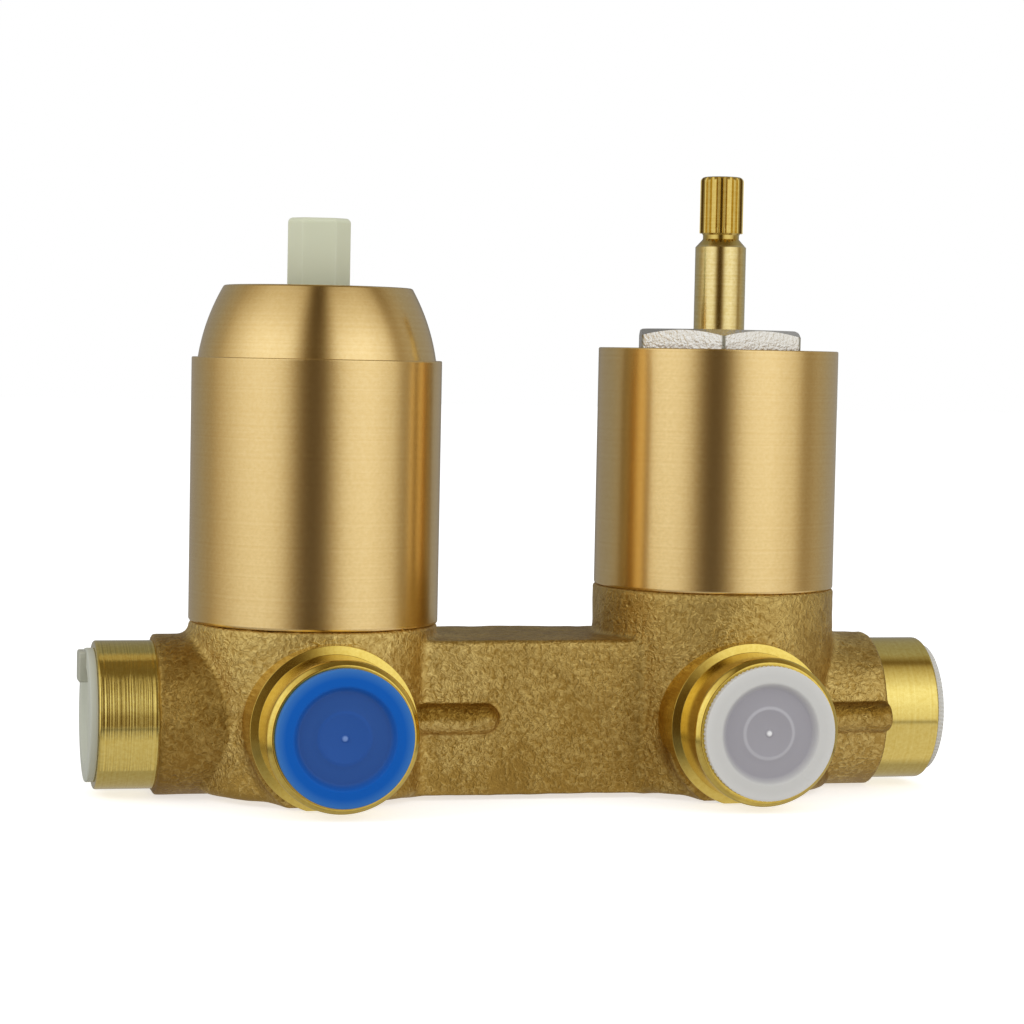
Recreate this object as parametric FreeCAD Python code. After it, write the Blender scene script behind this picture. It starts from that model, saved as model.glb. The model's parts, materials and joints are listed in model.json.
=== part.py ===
import FreeCAD, Part
import math
import os

# Concealed bath shower mixer: one brass casting with two towers and five ports.
# +Z is up, the flat base is z = 0, X runs along the bar, -Y is the side with the front ports.
# The origin is on the base, midway between the two towers. All sizes are in millimetres.

# Fits and working allowances
overlap = 1.0
edge_tolerance = 1e-4
water_film = 0.05
disc_clearance = 0.2
o_ring_section = 1.8
o_ring_seat_gap = 0.05
o_ring_groove_room = 0.5

# Ports, each a collar, a turned stub and a half inch pipe thread cut to its minor bore
stub_diameter = 26.5
end_stub_length = 10.5
side_stub_length = 9.3
stub_chamfer = 0.4
collar_step = 1.15
collar_foot_flat = 0.45
spout_collar_run = 6.5
shower_collar_run = 7.7
side_collar_run = 2.8
side_collar_draft = 2.0
thread_minor_diameter = 18.63
thread_depth = 14.0

# Casting
tower_spacing = 75.5
bar_depth = 28.0
bar_edge_radius = 1.0
mixer_boss_rise = 2.4
diverter_boss_rise = 8.9
casting_rib_diameter = 5.4
bar_rib_run = 5.85

# Waterways
waterway_web = 1.0
inlet_drill_diameter = 8.0
inlet_riser_diameter = 7.0
mixed_channel_diameter = 7.0
mixed_riser_diameter = 6.0
return_channel_diameter = 6.0
outlet_drill_diameter = 7.0
outlet_riser_diameter = 5.4

# Transport plugs
plug_flange_inset = 1.3
plug_flange_thickness = 1.5
plug_spigot_clearance = 0.15
plug_spigot_length = 9.0
plug_spigot_taper = 0.9
plug_wall = 1.2
plug_dish_margin = 0.4
plug_dish_depth = 1.1
plug_dish_slope = 0.9
plug_ring_diameter = 9.2
plug_ring_width = 0.7
plug_ring_height = 0.12
plug_gate_diameter = 1.3
plug_gate_height = 0.35
pull_tab_length = 5.6
pull_tab_width = 5.0
pull_tab_rise = 1.3
pull_tab_round = 0.4

# Sleeves and dome
sleeve_wall = 1.5
sleeve_edge_chamfer = 0.5
sleeve_neck_clearance = 0.3
mixer_sleeve_overhang = 0.1
mixer_sleeve_height = 47.3
diverter_sleeve_inset = 0.15
diverter_sleeve_height = 43.95
mixer_ring_heights = (4.6, 28.0)
diverter_ring_heights = (3.0, 30.0)
dome_shoulder = 1.1
dome_waist_inset = 1.7
dome_waist_height = 6.8
dome_top_inset = 4.5
dome_height = 12.9
dome_wall = 2.2
dome_lip_depth = 2.4
dome_lip_clearance = 0.2
dome_lip_gap = 0.4
dome_mouth_clearance = 1.8

# Mixing cartridge
cartridge_diameter = 35.0
cartridge_clearance = 0.2
cartridge_seat_rise = 10.4
nut_thread_step = 1.0
nut_thread_clearance = 0.1
nut_thread_runout = 0.5
nut_height = 5.6
nut_stand = 0.6
nut_slot_width = 3.0
nut_slot_depth = 2.0
nut_slots = 4
mixer_neck_wall = 2.1
cartridge_port_offset = 6.5
cartridge_port_setback = 3.0
cartridge_outlet_offset = 7.0
cartridge_port_diameter = 6.4
peg_diameter = 4.8
peg_length = 3.2
peg_edge_distance = 4.7
peg_clearance = 0.1
peg_angles = (180.0, 55.0)
seal_lift = 0.6
seal_groove_depth = 0.8
seal_width = 1.3
base_flange_height = 3.4
base_spigot_height = 1.5
housing_wall = 3.1
housing_neck_wall = 1.9
housing_neck_height = 4.0
fixed_disc_thickness = 3.5
moving_disc_thickness = 4.0
moving_disc_side_room = 0.5
key_radius = 1.5
mixing_pocket_margin = 2.1
mixing_pocket_edge = 1.8
mixing_pocket_depth = 2.0
carrier_inset = 0.5
carrier_height = 5.4
carrier_lug_length = 6.0
carrier_lug_width = 3.0
carrier_lug_depth = 1.0
carrier_lug_offset = 6.5
lug_clearance = 0.1
stem_ball_diameter = 7.2
stem_ball_clearance = 0.12
stem_arm = 11.0
stem_neck_diameter = 5.6
guide_gap = 0.6
guide_flange_step = 1.0
guide_flange_room = 0.4
guide_flange_height = 2.4
guide_running_gap = 0.1
guide_end_play = 0.3
guide_stand = 1.0
pivot_above_flange = 8.8
pin_diameter = 3.0
pin_length = 20.0
pin_running_gap = 0.05
shank_depth = 7.0
shank_width = 9.0
shank_gap = 0.15
stem_across = 11.2
stem_corner = 2.6
stem_stand = 12.2
stem_edge_radius = 0.9
stem_side_radius = 0.6
stem_tilt = 12.5
stem_turn = -9.0

# Diverter headwork
diverter_neck_drop = 3.05
chamber_floor_rise = 6.25
chamber_diameter = 33.0
chamber_height = 18.0
bonnet_thread_diameter = 26.0
bonnet_thread_clearance = 0.1
gasket_thickness = 1.0
gasket_margin = 2.5
hex_step = 1.55
hex_turn = 15.8
hex_stand = 3.6
hex_chamfer_angle = 25.0
hex_chamfer_margin = 0.4
cage_inset = 1.2
cage_wall = 1.6
cage_foot_gap = 0.4
cage_window_width = 9.0
cage_window_height = 9.0
cage_windows = 3
seat_seal_thickness = 3.0
seat_seal_inset = 0.1
diverter_disc_room = 0.3
diverter_fixed_thickness = 3.5
diverter_moving_thickness = 3.5
diverter_key_width = 3.0
diverter_window_angle = 70.0
diverter_window_inner = 3.6
outlet_edge_web = 1.0
diverter_lug_width = 3.0
diverter_lug_depth = 1.4
drive_flange_inset = 1.4
drive_flange_height = 3.0
spindle_shoulder_step = 1.8
spindle_shoulder_length = 5.8
washer_thickness = 1.0
washer_inset = 0.5
spindle_end_play = 0.05
shaft_diameter = 9.4
shaft_running_gap = 0.05
shaft_stand = 19.1
shaft_chamfer = 0.2
neck_depth = 0.65
neck_length = 2.4
neck_cone = 1.3
neck_flare = 0.35
spline_teeth = 20
spline_diameter = 8.0
spline_tooth_depth = 0.42
spline_crest_share = 0.32
spline_root_share = 0.36
spline_length = 10.4
spline_end_radius = 0.9
spindle_ring_section = 1.4
spindle_ring_play = 0.03
spindle_ring_groove_room = 0.4
spindle_ring_heights = (6.0, 11.0)

# Mixing tower, worked out from the cartridge outwards
mixer_x = -tower_spacing / 2
diverter_x = tower_spacing / 2
nut_thread_diameter = cartridge_diameter + 2 * nut_thread_step
nut_bore_diameter = nut_thread_diameter + 2 * nut_thread_clearance
mixer_neck_diameter = nut_bore_diameter + 2 * mixer_neck_wall
mixer_sleeve_bore = mixer_neck_diameter + 2 * sleeve_neck_clearance
mixer_sleeve_diameter = mixer_sleeve_bore + 2 * sleeve_wall
boss_diameter = mixer_sleeve_diameter - 2 * mixer_sleeve_overhang
diverter_sleeve_diameter = boss_diameter - 2 * diverter_sleeve_inset
diverter_sleeve_bore = diverter_sleeve_diameter - 2 * sleeve_wall
diverter_neck_diameter = diverter_sleeve_bore - 2 * sleeve_neck_clearance
collar_diameter = stub_diameter + 2 * collar_step
spout_collar_reach = boss_diameter / 2 + spout_collar_run
shower_collar_reach = boss_diameter / 2 + shower_collar_run
side_collar_reach = boss_diameter / 2 + side_collar_run
spout_stub_reach = spout_collar_reach + end_stub_length
shower_stub_reach = shower_collar_reach + end_stub_length
side_stub_reach = side_collar_reach + side_stub_length
port_axis_height = collar_diameter / 2 - collar_foot_flat
bar_height = port_axis_height + collar_diameter / 2
mixer_boss_height = bar_height + mixer_boss_rise
diverter_boss_height = bar_height + diverter_boss_rise
mixer_sleeve_top = mixer_boss_height + mixer_sleeve_height
diverter_sleeve_top = diverter_boss_height + diverter_sleeve_height
mixer_neck_top = mixer_sleeve_top - dome_lip_depth - dome_lip_gap
diverter_neck_top = diverter_sleeve_top - diverter_neck_drop
plug_flange_diameter = stub_diameter - 2 * plug_flange_inset
plug_dish_diameter = thread_minor_diameter - 2 * plug_dish_margin
mixed_channel_height = (
    port_axis_height + (inlet_drill_diameter + mixed_channel_diameter) / 2 + waterway_web)
return_channel_height = (
    port_axis_height - (inlet_drill_diameter + return_channel_diameter) / 2 - waterway_web)

# Heights and widths inside the cartridge
cartridge_seat_height = mixer_boss_height + cartridge_seat_rise
peg_circle_radius = cartridge_diameter / 2 - peg_edge_distance
base_bottom = cartridge_seat_height + seal_lift
base_flange_top = base_bottom + base_flange_height
fixed_disc_bottom = base_flange_top + base_spigot_height
fixed_disc_top = fixed_disc_bottom + fixed_disc_thickness
moving_disc_bottom = fixed_disc_top + water_film
moving_disc_top = moving_disc_bottom + moving_disc_thickness
carrier_bottom = moving_disc_top
carrier_top = carrier_bottom + carrier_height
guide_bottom = carrier_top + guide_gap
guide_flange_top = guide_bottom + guide_flange_height
pivot_height = guide_bottom + pivot_above_flange
ball_height = pivot_height - stem_arm
housing_ceiling = guide_flange_top + guide_end_play
housing_shoulder = mixer_neck_top + nut_stand - nut_height
housing_top = housing_shoulder + housing_neck_height
guide_top = housing_top + guide_stand
housing_bore_diameter = cartridge_diameter - 2 * housing_wall
guide_flange_diameter = housing_bore_diameter - 2 * guide_flange_room
guide_diameter = guide_flange_diameter - 2 * guide_flange_step
housing_throat_diameter = guide_diameter + 2 * guide_running_gap
housing_neck_diameter = housing_throat_diameter + 2 * housing_neck_wall
swing = math.radians(stem_tilt)
disc_travel = stem_arm * swing
moving_disc_diameter = housing_bore_diameter - 2 * (disc_travel + moving_disc_side_room)
mixing_pocket_diameter = moving_disc_diameter - 2 * mixing_pocket_margin
carrier_diameter = moving_disc_diameter - 2 * carrier_inset
dome_crown = mixer_sleeve_top + dome_height
stem_reach_at_crown = stem_across / 2 / math.cos(swing) + (dome_crown - pivot_height) * math.tan(swing)
dome_mouth_diameter = 2 * (stem_reach_at_crown + dome_mouth_clearance)
dome_base_diameter = mixer_sleeve_diameter - 2 * dome_shoulder
stem_top = dome_crown + stem_stand

# Heights and widths inside the diverter
chamber_floor = diverter_boss_height + chamber_floor_rise
cage_diameter = bonnet_thread_diameter - 2 * cage_inset
cage_room_diameter = cage_diameter - 2 * cage_wall
diverter_disc_diameter = cage_room_diameter - 2 * diverter_disc_room
seat_seal_diameter = diverter_disc_diameter - 2 * seat_seal_inset
outlet_circle_radius = (diverter_disc_diameter - outlet_riser_diameter) / 2 - outlet_edge_web
drive_flange_diameter = diverter_disc_diameter - 2 * drive_flange_inset
washer_diameter = drive_flange_diameter - 2 * washer_inset
hex_across_flats = bonnet_thread_diameter + 2 * hex_step
gasket_diameter = hex_across_flats + 2 * gasket_margin
seat_seal_top = chamber_floor + seat_seal_thickness
diverter_fixed_top = seat_seal_top + diverter_fixed_thickness
diverter_moving_bottom = diverter_fixed_top + water_film
diverter_moving_top = diverter_moving_bottom + diverter_moving_thickness
drive_flange_bottom = diverter_moving_top + water_film
drive_flange_top = drive_flange_bottom + drive_flange_height
spindle_shoulder_top = drive_flange_top + spindle_shoulder_length
washer_bottom = spindle_shoulder_top + spindle_end_play
cage_ceiling = washer_bottom + washer_thickness + spindle_end_play
cage_bottom = seat_seal_top + cage_foot_gap
hex_bottom = diverter_neck_top + gasket_thickness
hex_top = diverter_sleeve_top + hex_stand
shaft_end = diverter_sleeve_top + shaft_stand
spline_bottom = shaft_end + neck_length
spindle_top = spline_bottom + spline_length
spindle_ring_seat = shaft_diameter / 2 - spindle_ring_section + shaft_running_gap - spindle_ring_play
outlet_angles = {"shower": 60.0, "spout": 180.0, "handset": 300.0}

up = FreeCAD.Vector(0, 0, 1)
port_directions = {
    "cold": FreeCAD.Vector(0, -1, 0),
    "hot": FreeCAD.Vector(0, 1, 0),
    "spout": FreeCAD.Vector(-1, 0, 0),
    "handset": FreeCAD.Vector(0, -1, 0),
    "shower": FreeCAD.Vector(1, 0, 0),
}
port_towers = {
    "cold": mixer_x,
    "hot": mixer_x,
    "spout": mixer_x,
    "handset": diverter_x,
    "shower": diverter_x,
}
collar_reaches = {
    "cold": side_collar_reach,
    "hot": side_collar_reach,
    "spout": spout_collar_reach,
    "handset": side_collar_reach,
    "shower": shower_collar_reach,
}
stub_reaches = {
    "cold": side_stub_reach,
    "hot": side_stub_reach,
    "spout": spout_stub_reach,
    "handset": side_stub_reach,
    "shower": shower_stub_reach,
}


def point(x, y, z):
    return FreeCAD.Vector(x, y, z)


def cylinder(x, y, z, diameter, height, direction=up):
    """A round bar that starts at a point and runs along a direction."""
    return Part.makeCylinder(diameter / 2, height, point(x, y, z), direction)


def tube(x, z, outer, inner, height):
    """A plain ring or pipe standing on the X axis of the object."""
    hole = cylinder(x, 0, z, inner, height)
    return cylinder(x, 0, z, outer, height).cut(hole)


def turned(outline, x):
    """A turned solid: a closed outline of (radius, height) points, revolved about a tower's axis."""
    points = [point(radius, 0, height) for radius, height in outline]
    wire = Part.makePolygon(points + points[:1])
    solid = Part.Face(wire).revolve(point(0, 0, 0), up, 360)
    solid.translate(point(x, 0, 0))
    return solid


def ring(x, height, seat_radius, section):
    """An O-ring that sits in a groove of the given seat radius."""
    return Part.makeTorus(seat_radius + section / 2, section / 2, point(x, 0, height), up)


def polar(x, radius, angle):
    """A place on a circle about a tower's axis, as x and y."""
    turn = math.radians(angle)
    return x + radius * math.cos(turn), radius * math.sin(turn)


def edges_at(shape, height):
    """The edges of a shape that lie flat at one height."""
    boxes = [(edge, edge.BoundBox) for edge in shape.Edges]
    low = [(edge, box) for edge, box in boxes if abs(box.ZMin - height) < edge_tolerance]
    return [edge for edge, box in low if box.ZLength < edge_tolerance]


def aim(shape, port):
    """Moves a shape modelled along +Z, mouth at z = 0, to a port's mouth, facing outwards."""
    direction = port_directions[port]
    turn = FreeCAD.Rotation(up, direction)
    centre = point(port_towers[port], 0, port_axis_height) + direction * stub_reaches[port]
    placed = shape.copy()
    placed.Placement = FreeCAD.Placement(centre, turn).multiply(shape.Placement)
    return placed


def turned_stub(length):
    """The smooth end of a port, mouth at z = 0, with a chamfered rim."""
    stub = Part.makeCylinder(stub_diameter / 2, length + overlap, point(0, 0, 0), -up)
    return stub.makeChamfer(stub_chamfer, edges_at(stub, 0))


def port_outside(port):
    """Collar and stub of one port, run in as far as its tower's axis and cut flat at the base."""
    reach = collar_reaches[port]
    direction = port_directions[port]
    start = point(port_towers[port], 0, port_axis_height)
    face = collar_diameter / 2
    if port in ("spout", "shower"):
        collar = Part.makeCylinder(face, reach, start, direction)
    else:
        root = face + reach * math.tan(math.radians(side_collar_draft))
        collar = Part.makeCone(root, face, reach, start, direction)
    keep = cylinder(port_towers[port], 0, 0, 2 * stub_reaches[port], mixer_boss_height)
    stub = turned_stub(stub_reaches[port] - reach)
    return collar.common(keep).fuse(aim(stub, port))


def bar():
    """The bridge between the towers, with rounded top edges."""
    block = Part.makeBox(tower_spacing, bar_depth, bar_height, point(mixer_x, -bar_depth / 2, 0))
    top = [edge for edge in edges_at(block, bar_height) if edge.BoundBox.YLength < edge_tolerance]
    return block.makeFillet(bar_edge_radius, top)


def casting_rib(start_x, end_x, face_y):
    """A round cast runner on the parting line, sunk to its middle in a face."""
    start = point(start_x, face_y, port_axis_height)
    return Part.makeCylinder(casting_rib_diameter / 2, end_x - start_x, start, point(1, 0, 0))


def ring_seat(neck_diameter):
    """Radius of the floor of a sleeve ring's groove in a neck."""
    room = o_ring_section + 2 * o_ring_seat_gap
    return neck_diameter / 2 + sleeve_neck_clearance - room


def neck(x, bottom, top, diameter, ring_heights):
    """A tower's neck, turned for a sleeve, with grooves for the sleeve's rings."""
    post = cylinder(x, 0, bottom - overlap, diameter, top - bottom + overlap)
    width = o_ring_section + o_ring_groove_room
    for height in ring_heights:
        groove = tube(x, bottom + height - width / 2, diameter + overlap, 2 * ring_seat(diameter), width)
        post = post.cut(groove)
    return post


def cartridge_ports():
    """Centres of the cartridge's cold, hot and mixed ports, measured from its axis."""
    return {
        "cold": (-cartridge_port_setback, -cartridge_port_offset),
        "hot": (-cartridge_port_setback, cartridge_port_offset),
        "mixed": (cartridge_outlet_offset, 0.0),
    }


def mixer_waterways():
    """Cartridge bore, inlet drillings and the mixed water channel."""
    bore = cartridge_diameter + 2 * cartridge_clearance
    cuts = [cylinder(mixer_x, 0, cartridge_seat_height, bore, mixer_neck_top)]
    thread_start = housing_shoulder - nut_thread_runout
    cuts.append(cylinder(mixer_x, 0, thread_start, nut_bore_diameter, mixer_neck_top))
    for angle in peg_angles:
        x, y = polar(mixer_x, peg_circle_radius, angle)
        hole = peg_diameter + 2 * peg_clearance
        cuts.append(cylinder(x, y, cartridge_seat_height - peg_length, hole, peg_length + overlap))
    for name, (dx, dy) in cartridge_ports().items():
        x = mixer_x + dx
        if name == "mixed":
            continue
        side = math.copysign(1, dy)
        length = side_stub_reach - abs(dy)
        mouth = point(x, side * side_stub_reach, port_axis_height)
        cuts.append(Part.makeCylinder(inlet_drill_diameter / 2, length, mouth, point(0, -side, 0)))
        rise = cartridge_seat_height - port_axis_height + overlap
        cuts.append(cylinder(x, dy, port_axis_height, inlet_riser_diameter, rise))
    start = mixer_x + cartridge_outlet_offset
    drop = cartridge_seat_height - mixed_channel_height + overlap
    cuts.append(cylinder(start, 0, mixed_channel_height, mixed_channel_diameter, drop))
    return cuts


def diverter_waterways():
    """Diverter chamber, the three outlet drillings and the channels that cross the bar."""
    cuts = [cylinder(diverter_x, 0, chamber_floor, chamber_diameter, chamber_height)]
    thread = bonnet_thread_diameter + 2 * bonnet_thread_clearance
    cuts.append(cylinder(diverter_x, 0, chamber_floor, thread, diverter_neck_top))
    riser_x = diverter_x - (chamber_diameter - mixed_riser_diameter) / 2
    rise = chamber_floor - mixed_channel_height + overlap
    cuts.append(cylinder(riser_x, 0, mixed_channel_height, mixed_riser_diameter, rise))
    start = mixer_x + cartridge_outlet_offset
    channel = mixed_channel_diameter
    cuts.append(cylinder(start, 0, mixed_channel_height, channel, riser_x - start, point(1, 0, 0)))
    for port, angle in outlet_angles.items():
        x, y = polar(diverter_x, outlet_circle_radius, angle)
        foot = return_channel_height if port == "spout" else port_axis_height
        cuts.append(cylinder(x, y, foot, outlet_riser_diameter, chamber_floor - foot + overlap))
        if port == "shower":
            length = diverter_x + shower_stub_reach - x
            drill = cylinder(x, y, foot, outlet_drill_diameter, length, port_directions[port])
        elif port == "handset":
            length = side_stub_reach + y
            drill = cylinder(x, y, foot, outlet_drill_diameter, length, port_directions[port])
        else:
            length = x - mixer_x + spout_stub_reach - thread_depth + overlap
            drill = cylinder(x, y, foot, return_channel_diameter, length, port_directions[port])
        cuts.append(drill)
    return cuts


def thread_bores():
    """The minor bore of each port's pipe thread."""
    length = thread_depth + overlap
    bore = Part.makeCylinder(thread_minor_diameter / 2, length, point(0, 0, -thread_depth), up)
    return [aim(bore, port) for port in port_directions]


def cast_body():
    forms = [port_outside(port) for port in port_directions]
    for x, height in ((mixer_x, mixer_boss_height), (diverter_x, diverter_boss_height)):
        forms.append(cylinder(x, 0, 0, boss_diameter, height))
    rib_end = mixer_x + boss_diameter / 2 + bar_rib_run
    forms.append(casting_rib(mixer_x, rib_end, -bar_depth / 2))
    forms.append(Part.makeSphere(casting_rib_diameter / 2, point(rib_end, -bar_depth / 2, port_axis_height)))
    forms.append(casting_rib(diverter_x, diverter_x + shower_collar_reach, -collar_diameter / 2))
    forms.append(neck(mixer_x, mixer_boss_height, mixer_neck_top, mixer_neck_diameter, mixer_ring_heights))
    forms.append(neck(
        diverter_x, diverter_boss_height, diverter_neck_top, diverter_neck_diameter, diverter_ring_heights))
    cuts = mixer_waterways() + diverter_waterways() + thread_bores()
    return bar().fuse(forms).cut(cuts).removeSplitter()


def transport_plug():
    """A push-in plug along +Z: flange outside, spigot inside, dished face with a ring and a gate mark."""
    flange = Part.makeCylinder(plug_flange_diameter / 2, plug_flange_thickness)
    flange = flange.makeFillet(plug_flange_thickness / 4, flange.Edges)
    spigot_radius = thread_minor_diameter / 2 - plug_spigot_clearance
    tip_radius = spigot_radius - plug_spigot_taper
    spigot = Part.makeCone(tip_radius, spigot_radius, plug_spigot_length, point(0, 0, -plug_spigot_length))
    plug = flange.fuse(spigot)
    floor = plug_flange_thickness - plug_dish_depth
    mouth = plug_dish_diameter / 2
    dish = Part.makeCone(mouth - plug_dish_slope, mouth, plug_dish_depth, point(0, 0, floor))
    roof = point(0, 0, floor - plug_wall)
    hollow = Part.makeCylinder(tip_radius - plug_wall, plug_spigot_length, roof, -up)
    plug = plug.cut([dish, hollow])
    inner = plug_ring_diameter / 2 - plug_ring_width
    root = floor - plug_ring_height
    mark = Part.makeCylinder(plug_ring_diameter / 2, 2 * plug_ring_height, point(0, 0, root))
    mark = mark.cut(Part.makeCylinder(inner, 2 * plug_ring_height, point(0, 0, root)))
    gate_radius = plug_gate_diameter / 2
    gate = Part.makeSphere(gate_radius, point(0, 0, floor + plug_gate_height - gate_radius))
    return plug.fuse([mark, gate]).removeSplitter()


def tabbed_plug():
    """A plug with a pull tab that stands on the upper edge of its flange."""
    root = plug_flange_thickness - plug_dish_depth - plug_ring_height
    top = plug_flange_thickness + pull_tab_rise
    edge = plug_flange_diameter / 2 - plug_flange_thickness / 4
    corner = point(edge - pull_tab_length, -pull_tab_width / 2, root)
    tab = Part.makeBox(pull_tab_length, pull_tab_width, top - root, corner)
    tab = tab.makeFillet(pull_tab_round, edges_at(tab, top))
    return transport_plug().fuse(tab).removeSplitter()


def sleeve(x, bottom, diameter, height):
    """A drawn tube sleeve with broken edges."""
    shell = tube(x, bottom, diameter, diameter - 2 * sleeve_wall, height)
    ends = edges_at(shell, bottom) + edges_at(shell, bottom + height)
    outer = [edge for edge in ends if edge.BoundBox.XLength > diameter - sleeve_wall]
    return shell.makeChamfer(sleeve_edge_chamfer, outer)


def sleeve_rings(x, bottom, neck_diameter, heights):
    """Two O-rings between a neck and its sleeve."""
    seat = ring_seat(neck_diameter) + o_ring_seat_gap
    return Part.makeCompound([ring(x, bottom + height, seat, o_ring_section) for height in heights])


def dome_profile(inset, bottom, top):
    """An arc through the dome's base, waist and top, moved inwards by a wall."""
    base = point(dome_base_diameter / 2 - inset, 0, bottom)
    waist_height = bottom + (top - bottom) * dome_waist_height / dome_height
    waist = point(dome_base_diameter / 2 - dome_waist_inset - inset, 0, waist_height)
    crown = point(dome_base_diameter / 2 - dome_top_inset - inset, 0, top)
    return Part.Arc(base, waist, crown).toShape(), base, crown


def mixer_dome_cap():
    """A domed cap: an outer arc, an inner arc, a mouth for the stem and a lip inside the sleeve."""
    seat = mixer_sleeve_top
    outer, outer_base, outer_crown = dome_profile(0, seat, dome_crown)
    inner, inner_base, inner_crown = dome_profile(dome_wall, seat, dome_crown - dome_wall)
    mouth = dome_mouth_diameter / 2
    lip = mixer_sleeve_bore / 2 - dome_lip_clearance
    lip_bottom = seat - dome_lip_depth
    corners = [
        outer_crown,
        point(mouth, 0, dome_crown),
        point(mouth, 0, dome_crown - dome_wall),
        inner_crown,
    ]
    inside = Part.makePolygon(corners)
    foot = Part.makePolygon([
        inner_base,
        point(inner_base.x, 0, lip_bottom),
        point(lip, 0, lip_bottom),
        point(lip, 0, seat),
        outer_base,
    ])
    wire = Part.Wire(Part.__sortEdges__([outer, inner] + inside.Edges + foot.Edges))
    dome = Part.Face(wire).revolve(point(0, 0, 0), up, 360)
    dome.translate(point(mixer_x, 0, 0))
    return dome


def cartridge_ring_nut():
    """The ring nut above the cartridge, with slots for a pin spanner."""
    inner = housing_neck_diameter + 2 * nut_thread_clearance
    nut = tube(mixer_x, housing_shoulder, nut_thread_diameter, inner, nut_height)
    for index in range(nut_slots):
        slot = Part.makeBox(
            nut_thread_diameter, nut_slot_width, nut_slot_depth,
            point(0, -nut_slot_width / 2, housing_shoulder + nut_height - nut_slot_depth))
        slot.rotate(point(0, 0, 0), up, (index + 0.5) * 360 / nut_slots)
        slot.translate(point(mixer_x, 0, 0))
        nut = nut.cut(slot)
    return nut


def keys(clearance):
    """Two half-round keys on the cartridge wall that hold the fixed disc from turning."""
    radius = key_radius - clearance
    places = [polar(mixer_x, housing_bore_diameter / 2, angle) for angle in (90.0, 270.0)]
    return [cylinder(x, y, fixed_disc_bottom, 2 * radius, fixed_disc_thickness) for x, y in places]


def cartridge_housing():
    """The moulded case: a skirt on the base, a shoulder under the nut and a neck round the guide."""
    skirt = housing_shoulder - base_flange_top
    case = cylinder(mixer_x, 0, base_flange_top, cartridge_diameter, skirt)
    neck_start = housing_shoulder - overlap
    case = case.fuse(cylinder(mixer_x, 0, neck_start, housing_neck_diameter, housing_top - neck_start))
    bore = cylinder(mixer_x, 0, base_flange_top, housing_bore_diameter, housing_ceiling - base_flange_top)
    throat = cylinder(mixer_x, 0, base_flange_top, housing_throat_diameter, housing_top)
    case = case.cut([bore, throat])
    skin = cylinder(mixer_x, 0, fixed_disc_bottom, cartridge_diameter, fixed_disc_thickness)
    wall_keys = [key.common(skin) for key in keys(disc_clearance)]
    return case.fuse(wall_keys).removeSplitter()


def cartridge_base():
    """The bottom plate with three ports, seal grooves and two locating pegs."""
    plate = cylinder(mixer_x, 0, base_bottom, cartridge_diameter, base_flange_height)
    spigot = housing_bore_diameter - 2 * disc_clearance
    plate = plate.fuse(cylinder(mixer_x, 0, base_bottom, spigot, base_flange_height + base_spigot_height))
    for angle in peg_angles:
        x, y = polar(mixer_x, peg_circle_radius, angle)
        length = peg_length + seal_lift - peg_clearance
        plate = plate.fuse(cylinder(x, y, base_bottom - length, peg_diameter, length + overlap))
    height = base_flange_height + base_spigot_height
    for dx, dy in cartridge_ports().values():
        plate = plate.cut(cylinder(mixer_x + dx, dy, base_bottom, cartridge_port_diameter, height))
        groove = cartridge_port_diameter + 2 * seal_width
        plate = plate.cut(cylinder(mixer_x + dx, dy, base_bottom, groove, seal_groove_depth))
    return plate.removeSplitter()


def cartridge_base_seals():
    """Three rubber rings squeezed between the base and the casting's seat."""
    seals = []
    height = seal_lift + seal_groove_depth
    for dx, dy in cartridge_ports().values():
        outer = cartridge_port_diameter + 2 * seal_width
        rim = cylinder(mixer_x + dx, dy, cartridge_seat_height, outer, height)
        hole = cylinder(mixer_x + dx, dy, cartridge_seat_height, cartridge_port_diameter, height)
        seals.append(rim.cut(hole))
    return Part.makeCompound(seals)


def fixed_ceramic_disc():
    """The lower ceramic disc, ported and notched for the case's keys."""
    diameter = housing_bore_diameter - 2 * disc_clearance
    disc = cylinder(mixer_x, 0, fixed_disc_bottom, diameter, fixed_disc_thickness)
    for dx, dy in cartridge_ports().values():
        hole = cylinder(mixer_x + dx, dy, fixed_disc_bottom, cartridge_port_diameter, fixed_disc_thickness)
        disc = disc.cut(hole)
    return disc.cut(keys(0))


def lug_boxes(height, clearance, bottom):
    """Two lugs that key the carrier to the moving disc."""
    lugs = []
    for side in (-1, 1):
        length = carrier_lug_length + 2 * clearance
        width = carrier_lug_width + 2 * clearance
        corner = point(mixer_x - length / 2, side * carrier_lug_offset - width / 2, bottom)
        lugs.append(Part.makeBox(length, width, height, corner))
    return lugs


def moving_ceramic_disc():
    """The upper ceramic disc, with the mixing pocket in its polished face."""
    disc = cylinder(mixer_x, 0, moving_disc_bottom, moving_disc_diameter, moving_disc_thickness)
    pocket = cylinder(mixer_x, 0, moving_disc_bottom, mixing_pocket_diameter, mixing_pocket_depth)
    size = mixing_pocket_diameter
    side = Part.makeBox(size, size, size, point(mixer_x - mixing_pocket_edge, -size / 2, moving_disc_bottom))
    depth = carrier_lug_depth + lug_clearance
    slots = lug_boxes(depth + overlap, lug_clearance, moving_disc_top - depth)
    return disc.cut([pocket.common(side)] + slots)


def disc_carrier():
    """The plastic carrier that takes the stem's ball and pushes the moving disc."""
    plate = cylinder(mixer_x, 0, carrier_bottom, carrier_diameter, carrier_height)
    plate = plate.fuse(lug_boxes(carrier_lug_depth + overlap, 0, carrier_bottom - carrier_lug_depth))
    socket = stem_ball_diameter + 2 * stem_ball_clearance
    lowest = ball_height - stem_ball_diameter / 2 - 2 * stem_ball_clearance
    return plate.cut(cylinder(mixer_x, 0, lowest, socket, carrier_top)).removeSplitter()


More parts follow.
